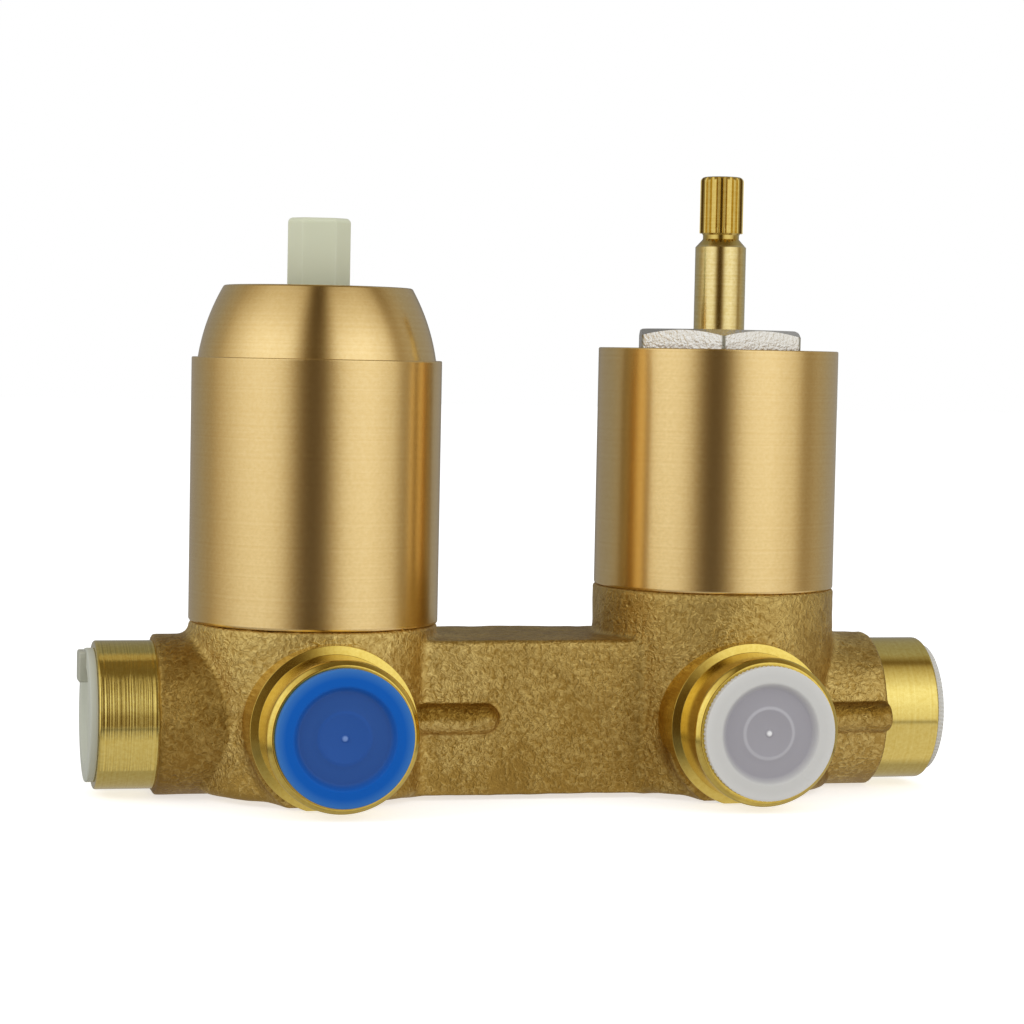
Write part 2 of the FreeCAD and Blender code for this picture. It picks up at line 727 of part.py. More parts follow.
def stem_guide():
    """The turret that turns in the case and carries the stem's pin, with a slot for the stem's swing."""
    turret = cylinder(mixer_x, 0, guide_bottom, guide_flange_diameter, guide_flange_height)
    turret = turret.fuse(cylinder(mixer_x, 0, guide_bottom, guide_diameter, guide_top - guide_bottom))
    arm = max(pivot_height - guide_bottom, guide_top - pivot_height)
    reach = shank_depth / 2 / math.cos(swing) + arm * math.tan(swing) + 2 * shank_gap
    width = shank_width + 2 * shank_gap
    slot = Part.makeBox(
        2 * reach, width, guide_top - guide_bottom, point(mixer_x - reach, -width / 2, guide_bottom))
    pin = stem_pivot_pin()
    return turret.cut([slot, pin]).removeSplitter()


def stem_pivot_pin():
    """The steel pin across the guide."""
    start = point(mixer_x, -pin_length / 2, pivot_height)
    return Part.makeCylinder(pin_diameter / 2, pin_length, start, point(0, 1, 0))


def stem_section(bottom, top):
    """A square bar with cut corners and rounded edges, for the handle."""
    half = stem_across / 2
    cut = half - stem_corner
    corners = [(half, cut), (cut, half), (-cut, half), (-half, cut)]
    corners += [(-x, -y) for x, y in corners]
    points = [point(mixer_x + x, y, bottom) for x, y in corners]
    bar_stock = Part.Face(Part.makePolygon(points + points[:1])).extrude(point(0, 0, top - bottom))
    sides = [edge for edge in bar_stock.Edges if edge.BoundBox.ZLength > stem_edge_radius]
    return bar_stock.makeFillet(stem_side_radius, sides)


def mixer_stem():
    """The plastic stem: ball, neck, flat shank on the pin and a cut-corner top."""
    stand = guide_top - pivot_height + 2 * guide_end_play
    top_start = pivot_height + (stand + stem_across / 2 * math.sin(swing)) / math.cos(swing)
    shank_bottom = guide_bottom + guide_end_play
    shank = Part.makeBox(
        shank_depth, shank_width, top_start - shank_bottom + overlap,
        point(mixer_x - shank_depth / 2, -shank_width / 2, shank_bottom))
    grip = stem_section(top_start, stem_top)
    grip = grip.makeFillet(stem_edge_radius, edges_at(grip, stem_top))
    ball = Part.makeSphere(stem_ball_diameter / 2, point(mixer_x, 0, ball_height))
    stalk = cylinder(mixer_x, 0, ball_height, stem_neck_diameter, shank_bottom - ball_height + overlap)
    stem = shank.fuse([grip, ball, stalk])
    hole = pin_diameter + 2 * pin_running_gap
    start = point(mixer_x, -shank_width, pivot_height)
    return stem.cut(Part.makeCylinder(hole / 2, 2 * shank_width, start, point(0, 1, 0))).removeSplitter()


def hexagon(bottom, top):
    """A hexagon with its top corners turned off to a cone."""
    corner_radius = hex_across_flats / math.sqrt(3)
    points = []
    for index in range(6):
        x, y = polar(0, corner_radius, hex_turn + 60 * index)
        points.append(point(x, y, bottom))
    prism = Part.Face(Part.makePolygon(points + points[:1])).extrude(point(0, 0, top - bottom))
    slope = math.tan(math.radians(hex_chamfer_angle))
    rim = hex_across_flats / 2 - hex_chamfer_margin
    height = top - bottom
    cone = Part.makeCone(rim + height / slope, rim, height, point(0, 0, bottom))
    prism = prism.common(cone)
    prism.translate(point(diverter_x, 0, 0))
    return prism


def cage_window_cuts():
    """Side windows that let mixed water reach the discs."""
    cuts = []
    for index in range(cage_windows):
        window = Part.makeBox(
            cage_diameter, cage_window_width, cage_window_height,
            point(0, -cage_window_width / 2, diverter_fixed_top))
        window.rotate(point(0, 0, 0), up, (index + 0.5) * 360 / cage_windows)
        window.translate(point(diverter_x, 0, 0))
        cuts.append(window)
    return cuts


def disc_keys(bottom, top, clearance):
    """Two square keys that hold the diverter's fixed disc in its cage."""
    blocks = []
    width = diverter_key_width + 2 * clearance
    for angle in (0.0, 180.0):
        block = Part.makeBox(cage_diameter / 2, width, top - bottom, point(0, -width / 2, bottom))
        block.rotate(point(0, 0, 0), up, angle)
        block.translate(point(diverter_x, 0, 0))
        blocks.append(block)
    return blocks


def diverter_bonnet():
    """The plated headwork body: hexagon, threaded shank and the cage round the discs."""
    body = hexagon(hex_bottom, hex_top)
    shank_bottom = chamber_floor + chamber_height
    shank_length = hex_bottom - shank_bottom + overlap
    shank = cylinder(diverter_x, 0, shank_bottom, bonnet_thread_diameter, shank_length)
    cage = cylinder(diverter_x, 0, cage_bottom, cage_diameter, shank_bottom - cage_bottom + overlap)
    body = body.fuse([shank, cage])
    room = cylinder(diverter_x, 0, cage_bottom, cage_room_diameter, cage_ceiling - cage_bottom)
    bore = cylinder(diverter_x, 0, cage_bottom, shaft_diameter + 2 * shaft_running_gap, hex_top)
    key_slots = disc_keys(cage_bottom, diverter_fixed_top + disc_clearance, disc_clearance)
    return body.cut([room, bore] + key_slots + cage_window_cuts()).removeSplitter()


def bonnet_gasket():
    """The fibre ring under the hexagon."""
    inner = bonnet_thread_diameter + 2 * bonnet_thread_clearance
    return tube(diverter_x, diverter_neck_top, gasket_diameter, inner, gasket_thickness)


def spline_outline(bottom):
    """The splines' outline: each tooth has two root corners and two crest corners, joined by flanks."""
    crest = spline_diameter / 2
    root = crest - spline_tooth_depth
    crest_half = spline_crest_share / 2
    root_half = (1 - spline_root_share) / 2
    corners = ((root, -root_half), (crest, -crest_half), (crest, crest_half), (root, root_half))
    points = []
    for index in range(spline_teeth):
        for radius, share in corners:
            x, y = polar(diverter_x, radius, (index + share) * 360 / spline_teeth)
            points.append(point(x, y, bottom))
    return Part.makePolygon(points + points[:1])


def diverter_spindle():
    """The spindle: drive flange and lug, shoulder, shaft with ring grooves, coned neck and splines."""
    shaft = shaft_diameter / 2
    root = spline_diameter / 2 - spline_tooth_depth
    waist = spline_diameter / 2 - neck_depth
    shoulder = shaft + spindle_shoulder_step
    outline = [
        (0, drive_flange_bottom),
        (drive_flange_diameter / 2, drive_flange_bottom),
        (drive_flange_diameter / 2, drive_flange_top),
        (shoulder, drive_flange_top),
        (shoulder, spindle_shoulder_top),
        (shaft, spindle_shoulder_top),
    ]
    half = (spindle_ring_section + spindle_ring_groove_room) / 2
    for height in spindle_ring_heights:
        middle = cage_ceiling + height
        outline += [
            (shaft, middle - half),
            (spindle_ring_seat, middle - half),
            (spindle_ring_seat, middle + half),
            (shaft, middle + half),
        ]
    outline += [
        (shaft, shaft_end - shaft_chamfer),
        (shaft - shaft_chamfer, shaft_end),
        (waist, shaft_end + neck_cone),
        (waist, spline_bottom - neck_flare),
        (root, spline_bottom),
        (root, spline_bottom + overlap),
        (0, spline_bottom + overlap),
    ]
    spindle = turned(outline, diverter_x)
    splines = Part.Face(spline_outline(spline_bottom)).extrude(point(0, 0, spline_length))
    blank = cylinder(diverter_x, 0, spline_bottom, spline_diameter, spline_length)
    splines = splines.common(blank.makeFillet(spline_end_radius, edges_at(blank, spindle_top)))
    drive = Part.makeBox(
        drive_flange_diameter, diverter_lug_width, diverter_lug_depth + overlap,
        point(diverter_x - drive_flange_diameter / 2, -diverter_lug_width / 2,
              drive_flange_bottom - diverter_lug_depth))
    drive = drive.common(cylinder(diverter_x, 0, chamber_floor, drive_flange_diameter, chamber_height))
    return spindle.fuse([splines, drive])


def spindle_o_rings():
    """Two rings in the spindle's grooves."""
    heights = [cage_ceiling + height for height in spindle_ring_heights]
    return Part.makeCompound([ring(diverter_x, z, spindle_ring_seat, spindle_ring_section) for z in heights])


def spindle_thrust_washer():
    """The slippery washer between the spindle's shoulder and the cage's ceiling."""
    inner = shaft_diameter + 2 * shaft_running_gap
    return tube(diverter_x, washer_bottom, washer_diameter, inner, washer_thickness)


def diverter_fixed_disc():
    """The ported ceramic disc, keyed in the cage."""
    disc = cylinder(diverter_x, 0, seat_seal_top, diverter_disc_diameter, diverter_fixed_thickness)
    reach = cage_diameter - 2 * disc_clearance
    rim = cylinder(diverter_x, 0, seat_seal_top, reach, diverter_fixed_thickness)
    for block in disc_keys(cage_bottom + disc_clearance, diverter_fixed_top, 0):
        disc = disc.fuse(block.common(rim))
    for angle in outlet_angles.values():
        x, y = polar(diverter_x, outlet_circle_radius, angle)
        disc = disc.cut(cylinder(x, y, seat_seal_top, outlet_riser_diameter, diverter_fixed_thickness))
    return disc.removeSplitter()


def diverter_moving_disc():
    """The turning ceramic disc, open over one outlet at a time, slotted for the spindle's lug."""
    diameter = diverter_disc_diameter - 2 * disc_clearance
    disc = cylinder(diverter_x, 0, diverter_moving_bottom, diameter, diverter_moving_thickness)
    half = diverter_window_angle / 2
    wedge = Part.makeCylinder(
        diameter, diverter_moving_thickness, point(0, 0, diverter_moving_bottom), up, diverter_window_angle)
    wedge.rotate(point(0, 0, 0), up, outlet_angles["handset"] - half)
    wedge.translate(point(diverter_x, 0, 0))
    hub_diameter = 2 * diverter_window_inner
    hub = cylinder(diverter_x, 0, diverter_moving_bottom, hub_diameter, diverter_moving_thickness)
    depth = diverter_lug_depth + lug_clearance
    width = diverter_lug_width + 2 * lug_clearance
    slot = Part.makeBox(
        diameter, width, depth + overlap,
        point(diverter_x - diameter / 2, -width / 2, diverter_moving_top - depth))
    return disc.cut([wedge.cut(hub), slot])


def diverter_seat_seal():
    """The rubber seat under the fixed disc, with a hole for each outlet."""
    pad = cylinder(diverter_x, 0, chamber_floor, seat_seal_diameter, seat_seal_thickness)
    for angle in outlet_angles.values():
        x, y = polar(diverter_x, outlet_circle_radius, angle)
        pad = pad.cut(cylinder(x, y, chamber_floor, outlet_riser_diameter, seat_seal_thickness))
    return pad


def with_stem(shape):
    """Turns a piece that goes round with the mixing stem to the stem's position."""
    shape.rotate(point(mixer_x, 0, 0), up, stem_turn)
    return shape


def all_pieces():
    """Every piece of the mixer by its node name."""
    pieces = {
        "cast_body": cast_body(),
        "spout_outlet_plug": aim(tabbed_plug(), "spout"),
        "mixer_sleeve": sleeve(mixer_x, mixer_boss_height, mixer_sleeve_diameter, mixer_sleeve_height),
        "mixer_dome_cap": mixer_dome_cap(),
        "mixer_sleeve_o_rings": sleeve_rings(
            mixer_x, mixer_boss_height, mixer_neck_diameter, mixer_ring_heights),
        "cartridge_ring_nut": cartridge_ring_nut(),
        "cartridge_housing": cartridge_housing(),
        "cartridge_base": cartridge_base(),
        "cartridge_base_seals": cartridge_base_seals(),
        "fixed_ceramic_disc": fixed_ceramic_disc(),
        "moving_ceramic_disc": with_stem(moving_ceramic_disc()),
        "disc_carrier": with_stem(disc_carrier()),
        "stem_guide": with_stem(stem_guide()),
        "stem_pivot_pin": with_stem(stem_pivot_pin()),
        "mixer_stem": with_stem(mixer_stem()),
        "diverter_sleeve": sleeve(
            diverter_x, diverter_boss_height, diverter_sleeve_diameter, diverter_sleeve_height),
        "diverter_sleeve_o_rings": sleeve_rings(
            diverter_x, diverter_boss_height, diverter_neck_diameter, diverter_ring_heights),
        "diverter_bonnet": diverter_bonnet(),
        "bonnet_gasket": bonnet_gasket(),
        "diverter_spindle": diverter_spindle(),
        "spindle_o_rings": spindle_o_rings(),
        "spindle_thrust_washer": spindle_thrust_washer(),
        "diverter_moving_disc": diverter_moving_disc(),
        "diverter_fixed_disc": diverter_fixed_disc(),
        "diverter_seat_seal": diverter_seat_seal(),
    }
    for port, node in (("cold", "cold_inlet"), ("hot", "hot_inlet"),
                       ("handset", "handset_outlet"), ("shower", "shower_outlet")):
        pieces[node + "_plug"] = aim(transport_plug(), port)
    return pieces


os.makedirs("parts", exist_ok=True)
for node, shape in all_pieces().items():
    shape.exportStep("parts/" + node + ".step")
    box = shape.BoundBox
    print(node, shape.isValid(), len(shape.Solids), round(shape.Volume, 1),
          [round(v, 2) for v in (box.XMin, box.XMax, box.YMin, box.YMax, box.ZMin, box.ZMax)])
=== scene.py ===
# %% [markdown]
# A concealed bath shower mixer is a brass casting that is buried in a wall.
# Two towers stand on it: the left one holds the mixing cartridge, the right one the diverter.
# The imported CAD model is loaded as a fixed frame. Every size below comes from it or is a real size in mm.

# %% Load the frame
import json
import math

import bmesh
import bpy
import numpy as np
from mathutils import Matrix, Vector


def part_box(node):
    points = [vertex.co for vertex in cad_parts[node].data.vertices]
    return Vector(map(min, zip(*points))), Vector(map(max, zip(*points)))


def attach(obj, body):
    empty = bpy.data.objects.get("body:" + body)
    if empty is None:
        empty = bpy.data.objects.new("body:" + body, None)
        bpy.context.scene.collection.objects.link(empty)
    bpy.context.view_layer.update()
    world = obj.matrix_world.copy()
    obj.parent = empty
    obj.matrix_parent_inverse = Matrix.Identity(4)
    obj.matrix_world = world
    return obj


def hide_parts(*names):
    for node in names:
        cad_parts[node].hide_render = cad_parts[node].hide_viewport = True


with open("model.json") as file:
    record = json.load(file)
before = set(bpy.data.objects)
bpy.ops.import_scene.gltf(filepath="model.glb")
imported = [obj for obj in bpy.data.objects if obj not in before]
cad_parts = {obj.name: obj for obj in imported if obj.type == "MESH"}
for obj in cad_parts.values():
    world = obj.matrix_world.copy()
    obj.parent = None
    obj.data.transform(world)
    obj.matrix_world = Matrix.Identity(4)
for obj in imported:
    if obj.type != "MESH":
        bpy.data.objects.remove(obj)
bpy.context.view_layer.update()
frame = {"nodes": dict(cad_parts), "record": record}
mm = 0.001
nodes = frame["nodes"]
node_slots = {row["node"]: row["material_slot"] for row in frame["record"]["subparts"]}

# %% [markdown]
# The towers' places, radii and heights are read from the boxes of the CAD nodes,
# so the visual pieces follow the solids if a size changes.

# %% Read the main sizes from the frame


def box_mm(node):
    """Lowest and highest corner of a CAD node, in millimetres."""
    low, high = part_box(node)
    return np.array(low) / mm, np.array(high) / mm


mixer_low, mixer_high = box_mm("mixer_sleeve")
diverter_low, diverter_high = box_mm("diverter_sleeve")
mixer_x = (mixer_low[0] + mixer_high[0]) / 2
diverter_x = (diverter_low[0] + diverter_high[0]) / 2
mixer_sleeve_radius = (mixer_high[0] - mixer_low[0]) / 2
diverter_sleeve_radius = (diverter_high[0] - diverter_low[0]) / 2
cast_low, cast_high = box_mm("cast_body")
plug_low, plug_high = box_mm("cold_inlet_plug")
port_axis = (plug_low[2] + plug_high[2]) / 2
flange_radius = (plug_high[0] - plug_low[0]) / 2
print("tower axes at x =", round(mixer_x, 2), round(diverter_x, 2), "port axis at z =", round(port_axis, 2))

# %% [markdown]
# Every new surface is a grid of points worked out at once with numpy. A turned piece is a profile
# carried round an axis. Its corners are rounded: no real edge is sharp, and a round edge catches light.

# %% Helpers for turned surfaces
past_end = 1.15


def rounded_outline(corners, steps=5, closed=True):
    """Rows of (radius, height, rounding): each rounded corner becomes a quadratic curve that starts and
    ends that far along its two sides, with the corner as control point. A point just past each end keeps
    the long faces flat in the shading."""
    corners = np.array(corners, float)
    share = np.linspace(0, 1, steps)[:, None]
    points = []
    for index, rounding in enumerate(corners[:, 2]):
        here = corners[index, :2]
        end = not closed and index in (0, len(corners) - 1)
        if rounding == 0 or end:
            points.append(here[None])
            continue
        before = corners[index - 1, :2]
        after = corners[(index + 1) % len(corners), :2]
        start = here + (before - here) * rounding / np.linalg.norm(before - here)
        stop = here + (after - here) * rounding / np.linalg.norm(after - here)
        curve = (1 - share) ** 2 * start + 2 * share * (1 - share) * here + share ** 2 * stop
        points.append(np.vstack([here + past_end * (start - here), curve, here + past_end * (stop - here)]))
    return np.concatenate(points)


def turn(profile, segments, ripple=None):
    """A profile of (r, s) rows carried round: x = r cos a, y = r sin a, z = s.
    ripple is an array (segments, rows) that is added to the radius."""
    angle = np.linspace(0, 2 * np.pi, segments, endpoint=False)[:, None]
    radius = np.broadcast_to(profile[None, :, 0], (segments, len(profile)))
    if ripple is not None:
        radius = radius + ripple
    height = np.broadcast_to(profile[None, :, 1], radius.shape)
    return np.stack([radius * np.cos(angle), radius * np.sin(angle), height], axis=-1)


def aim(grid, centre, direction):
    """Carries a surface turned about +Z to a centre, with its axis along a level unit direction."""
    along = np.array(direction, float)
    side = np.cross([0.0, 0.0, 1.0], along)
    upward = np.cross(along, side)
    return np.array(centre) + grid[..., :1] * side + grid[..., 1:2] * upward + grid[..., 2:] * along


print("rounded triangle:", len(rounded_outline([(1, 0, 0.1), (2, 0, 0.1), (2, 1, 0.1)])), "points")

# %% [markdown]
# A grid becomes a mesh by joining neighbouring points into triangles.
# Points that fall together, at a seam or on the axis, are welded, so the surface is closed.

# %% Helpers that make pieces


def skin(grid, closed_profile=True):
    """Points and triangles of a grid whose first index runs round; coinciding points are welded."""
    rows, columns = grid.shape[:2]
    i, j = np.meshgrid(np.arange(rows), np.arange(columns if closed_profile else columns - 1), indexing="ij")
    i_next, j_next = (i + 1) % rows, (j + 1) % columns
    a, b = i * columns + j, i_next * columns + j
    c, d = i_next * columns + j_next, i * columns + j_next
    triangles = np.concatenate([np.stack([a, b, c], -1), np.stack([a, c, d], -1)]).reshape(-1, 3)
    points, welded = np.unique(np.round(grid.reshape(-1, 3), 5), axis=0, return_inverse=True)
    triangles = welded.reshape(-1)[triangles]
    first, second, third = triangles.T
    whole = (first != second) & (second != third) & (third != first)
    return points, triangles[whole]


def put_in_scene(name, data):
    """A new object with this data, linked to the scene."""
    made = bpy.data.objects.new(name, data)
    bpy.context.scene.collection.objects.link(made)
    return made


def piece(name, points, faces, finish, slot, stands_for=(), body="valve_body", crease=35.0):
    """Makes one piece of the object from points in mm, with its place in its mesh."""
    mesh = bpy.data.meshes.new(name)
    mesh.from_pydata((points * mm).tolist(), [], faces.tolist())
    shell = bmesh.new()
    shell.from_mesh(mesh)
    bmesh.ops.recalc_face_normals(shell, faces=shell.faces)
    shell.to_mesh(mesh)
    shell.free()
    mesh.shade_smooth()
    mesh.set_sharp_from_angle(angle=math.radians(crease))
    mesh.materials.append(finish)
    made = put_in_scene(name, mesh)
    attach(made, body)
    if stands_for:
        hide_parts(*stands_for)
    print(name, len(points), "points,", len(faces), "faces")
    return made


print("piece helpers ready")

# %% [markdown]
# Materials are node trees. One small function adds a node, sets its options and links its inputs.
# Colours are written as the hex values a painter would pick and turned to linear light.

# %% Helpers for materials


def linear(code):
    """An sRGB hex colour as linear light with alpha."""
    values = np.array([int(code[i:i + 2], 16) for i in (1, 3, 5)]) / 255
    return (*np.where(values <= 0.04045, values / 12.92, ((values + 0.055) / 1.055) ** 2.4), 1.0)


def wire(tree, node, inputs):
    """Links each input of a node to a socket or to another node's first output, or gives it a value."""
    for key, value in inputs.items():
        if isinstance(value, bpy.types.Node):
            value = value.outputs[0]
        if isinstance(value, bpy.types.NodeSocket):
            tree.links.new(value, node.inputs[key])
        else:
            node.inputs[key].default_value = value


def add(tree, kind, inputs=None, **options):
    """Adds a node: options set its properties, inputs are wired."""
    node = tree.nodes.new(kind)
    for key, value in options.items():
        setattr(node, key, value)
    wire(tree, node, inputs or {})
    return node


def new_material(name):
    """An empty material: its node tree and its Principled shader."""
    material = bpy.data.materials.new(name)
    material.use_nodes = True
    tree = material.node_tree
    return material, tree, tree.nodes["Principled BSDF"]


def per_metre(size_mm):
    """The scale of a texture whose features are this many millimetres wide."""
    return 1 / (size_mm * mm)


print("mid grey in linear light:", round(float(linear("#808080")[0]), 3))

# %% [markdown]
# The casting's own sizes come next: the radii and faces that a pattern maker would write on the drawing.
# Its shape, its stain and the ports all use them.

# %% Sizes of the casting
boss_radius = mixer_sleeve_radius - 0.1
collar_radius = 14.4
stub_radius = 13.25
spout_face = -mixer_x + boss_radius + 6.5
shower_face = diverter_x + boss_radius + 7.7
side_face = boss_radius + 2.8
side_draft = math.radians(2.0)
root_drop = 1.6
root_end = 21.5
bar_half_depth = 14.0
bar_top = port_axis + collar_radius
bar_foot = 0.4
boss_foot = 0.6
foot_round = 1.6
edge_break = 0.45
rib_radius = 2.7
rib_height = port_axis + 0.45
bar_rib_end = mixer_x + boss_radius + 6.4
boss_tops = (mixer_low[2], diverter_low[2])
thread_bore = 9.315
bore_depth = 14.0
spout_rim, shower_rim, side_rim = -cast_low[0], cast_high[0], cast_high[1]
side_ports = ((mixer_x, -1), (mixer_x, 1), (diverter_x, -1))
print("bar top", round(bar_top, 2), "boss tops", np.round(boss_tops, 2))

# %% [markdown]
# Sand cast brass keeps the print of the sand: grains a little under a millimetre wide, deeper in some
# patches, with a few pits and a yellow to brown skin. The eye sees a dull mirror that each grain breaks up.

# %% Sand cast brass


def cast_brass():
    """Wormy grain as bump that comes and goes in patches, small pits, a darker foot that is painted shade
    near the floor, and darker where the mesh's tint_and_painted_reflection attribute says so."""
    grain_mm, patch_mm, pit_mm, relief_mm = 0.85, 9.0, 6.0, 0.34
    foot_shade_height, patch_weight = 36, 0.36
    material, tree, shader = new_material("sand_cast_brass")
    place = add(tree, "ShaderNodeTexCoord").outputs["Object"]
    grain = add(tree, "ShaderNodeTexNoise", {
        "Vector": place, "Scale": per_metre(grain_mm), "Detail": 2.0, "Roughness": 0.55, "Distortion": 0.9})
    patches = add(tree, "ShaderNodeTexNoise", {"Vector": place, "Scale": per_metre(patch_mm), "Detail": 3.0})
    pits = add(tree, "ShaderNodeTexVoronoi", {"Vector": place, "Scale": per_metre(pit_mm)})
    pit_shape = add(tree, "ShaderNodeMapRange", {"Value": pits, "From Min": 0.03, "From Max": 0.08})
    relief = add(tree, "ShaderNodeMapRange", {
        "Value": patches, "From Min": 0.38, "From Max": 0.62, "To Min": 0.45, "To Max": 1.25})
    rough = add(tree, "ShaderNodeMath", {0: grain, 1: relief}, operation="MULTIPLY")
    height = add(tree, "ShaderNodeMath", {0: rough, 1: pit_shape}, operation="MULTIPLY")
    bump = add(tree, "ShaderNodeBump", {"Height": height, "Strength": 1.0, "Distance": relief_mm * mm})
    mixed = add(tree, "ShaderNodeMix", {0: patch_weight, 2: grain, 3: patches})
    up = add(tree, "ShaderNodeSeparateXYZ", {"Vector": place}).outputs["Z"]
    # painted shade: the tone darkens towards the foot, standing in for the floor's shade in its reflections
    lift = add(tree, "ShaderNodeMapRange", {
        "Value": up, "From Min": 0.0, "From Max": foot_shade_height * mm, "To Min": -0.15, "To Max": 0.04})
    tone_with_foot_shade = add(tree, "ShaderNodeMath", {0: mixed, 1: lift}, operation="ADD")
    ramp = add(tree, "ShaderNodeValToRGB", {"Fac": tone_with_foot_shade})
    for stop, position, colour in zip(ramp.color_ramp.elements, (0.34, 0.66), ("#B6944B", "#F4DA8D")):
        stop.position, stop.color = position, linear(colour)
    tint_and_painted_reflection = add(tree, "ShaderNodeAttribute", attribute_name="tint_and_painted_reflection").outputs["Fac"]
    # the attribute darkens the tone: a browner collar and bar, and a painted reflection on the rib tops
    darkened = add(tree, "ShaderNodeMix", {
        0: tint_and_painted_reflection, 6: ramp, 7: linear("#B09640")}, data_type="RGBA", blend_type="MULTIPLY")
    wire(tree, shader, {
        "Base Color": darkened.outputs[2], "Normal": bump, "Metallic": 1.0, "Roughness": 0.42})
    return material


cast_finish = cast_brass()
print("cast brass:", len(cast_finish.node_tree.nodes), "nodes")

# %% [markdown]
# Turned brass shows the path of the tool: rings of slightly different height and colour along the axis.
# A noise that reads one coordinate only draws such rings, and the axis picks the coordinate.
# Most tool lines are about a tenth of a millimetre apart, too fine to show here, so they are drawn coarser.

# %% Turned brass


def turned_brass(name, axis, colours, ring_mm, roughness, stretch, depth_mm, tarnish_from=None):
    """Rings round one axis: a noise of that coordinate alone drives bump and colour, and the shine is
    stretched along the axis, across the rings. The metal is tarnished past a height, if one is given."""
    speckle_mm, speckle_weight, tarnish_edge = 0.6, 0.6, 0.3
    material, tree, shader = new_material(name)
    place = add(tree, "ShaderNodeTexCoord").outputs["Object"]
    along = add(tree, "ShaderNodeSeparateXYZ", {"Vector": place}).outputs[axis]
    rings = add(tree, "ShaderNodeTexNoise", {
        "W": along, "Scale": per_metre(ring_mm), "Detail": 2.0}, noise_dimensions="1D")
    speckle = add(tree, "ShaderNodeTexNoise", {
        "Vector": place, "Scale": per_metre(speckle_mm), "Detail": 2.0})
    tone = add(tree, "ShaderNodeMix", {0: speckle_weight, 2: rings, 3: speckle})
    ramp = add(tree, "ShaderNodeValToRGB", {"Fac": tone})
    for stop, position, colour in zip(ramp.color_ramp.elements, (0.3, 0.7), colours):
        stop.position, stop.color = position, linear(colour)
    bump = add(tree, "ShaderNodeBump", {"Height": rings, "Strength": 1.0, "Distance": depth_mm * mm})
    around = add(tree, "ShaderNodeTangent", direction_type="RADIAL", axis=axis)
    metal_colour = ramp
    if tarnish_from is not None:
        tarnish = add(tree, "ShaderNodeMapRange", {
            "Value": along, "From Min": tarnish_from * mm, "From Max": (tarnish_from + tarnish_edge) * mm})
        metal_colour = add(tree, "ShaderNodeMix", {
            0: tarnish, 6: ramp, 7: linear("#E9E0B6")}, data_type="RGBA", blend_type="MULTIPLY").outputs[2]
    wire(tree, shader, {
        "Base Color": metal_colour, "Normal": bump, "Tangent": around, "Metallic": 1.0,
        "Roughness": roughness, "Anisotropic": stretch, "Anisotropic Rotation": 0.25})
    return material


neck_and_spline = 12.8
shaft_top = box_mm("diverter_spindle")[1][2] - neck_and_spline
port_colours = ("#E0C566", "#F1DC84")
side_port_colours = ("#DDBE58", "#EED472")
satin_colours = ("#E9C988", "#F1D599")
spindle_colours = ("#DFC67E", "#EFDDA2")
# coarse turning: bright and dark lines round the spout's end
spout_port_brass = turned_brass("turned_brass_spout_port", "X", port_colours, 0.45, 0.14, 0.9, 0.06)
# fine turning, lightly polished: smooth and bright yellow
shower_port_brass = turned_brass("turned_brass_shower_port", "X", port_colours, 0.6, 0.13, 0.8, 0.006)
# fine turning: crisp rings of light on the shoulders
side_port_brass = turned_brass("turned_brass_side_ports", "Y", side_port_colours, 0.6, 0.16, 0.3, 0.003)
# satin turning: broad soft bands of light run down the sleeves
satin_brass = turned_brass("satin_turned_brass", "Z", satin_colours, 0.5, 0.26, 0.6, 0.0006)
# a finer satin: the dome mirrors light and dark with less blur
dome_brass = turned_brass("satin_turned_brass_dome", "Z", satin_colours, 0.5, 0.2, 0.1, 0.0004)
# a smooth shaft with narrow clear bands, and duller splines above
spindle_brass = turned_brass("turned_brass_spindle", "Z", spindle_colours, 0.5, 0.16, 0.6, 0.002, shaft_top)
print("the spindle is tarnished above z =", round(shaft_top, 2))

# %% [markdown]
# A transport plug is moulded in thin polythene. Its rim stands on solid metal and looks full in colour,
# while the web over the dark bore looks greyer. The gate, where the plastic entered, leaves a bright dot.
# The flange's outer edge is coloured lighter, a painted highlight.
# The bonnet is a forging that was plated dull silver, and its corners are painted dark, a painted reflection
# of the dark gap behind the camera.

# %% Polythene and plating


def moulded_polythene(name, edge, rim, web, mark, centre, dot):
    """The colour follows the distance from the plug's axis, which the reach attribute gives as a share
    of the flange's radius."""
    material, tree, shader = new_material(name)
    reach = add(tree, "ShaderNodeAttribute", attribute_name="reach").outputs["Fac"]
    ramp = add(tree, "ShaderNodeValToRGB", {"Fac": reach})
    stops = ramp.color_ramp.elements
    stops[0].position, stops[0].color = 0.024, linear(dot)
    stops[1].position, stops[1].color = 0.05, linear(centre)
    # the last stop colours the flange's edge lighter: a painted highlight
    further = ((0.34, centre), (0.365, mark), (0.385, mark), (0.41, web),
               (0.66, web), (0.76, rim), (0.86, rim), (0.99, edge))
    for position, colour in further:
        stops.new(position).color = linear(colour)
    wire(tree, shader, {"Base Color": ramp, "Roughness": 0.4, "IOR": 1.51, "Specular IOR Level": 0.15})
    return material


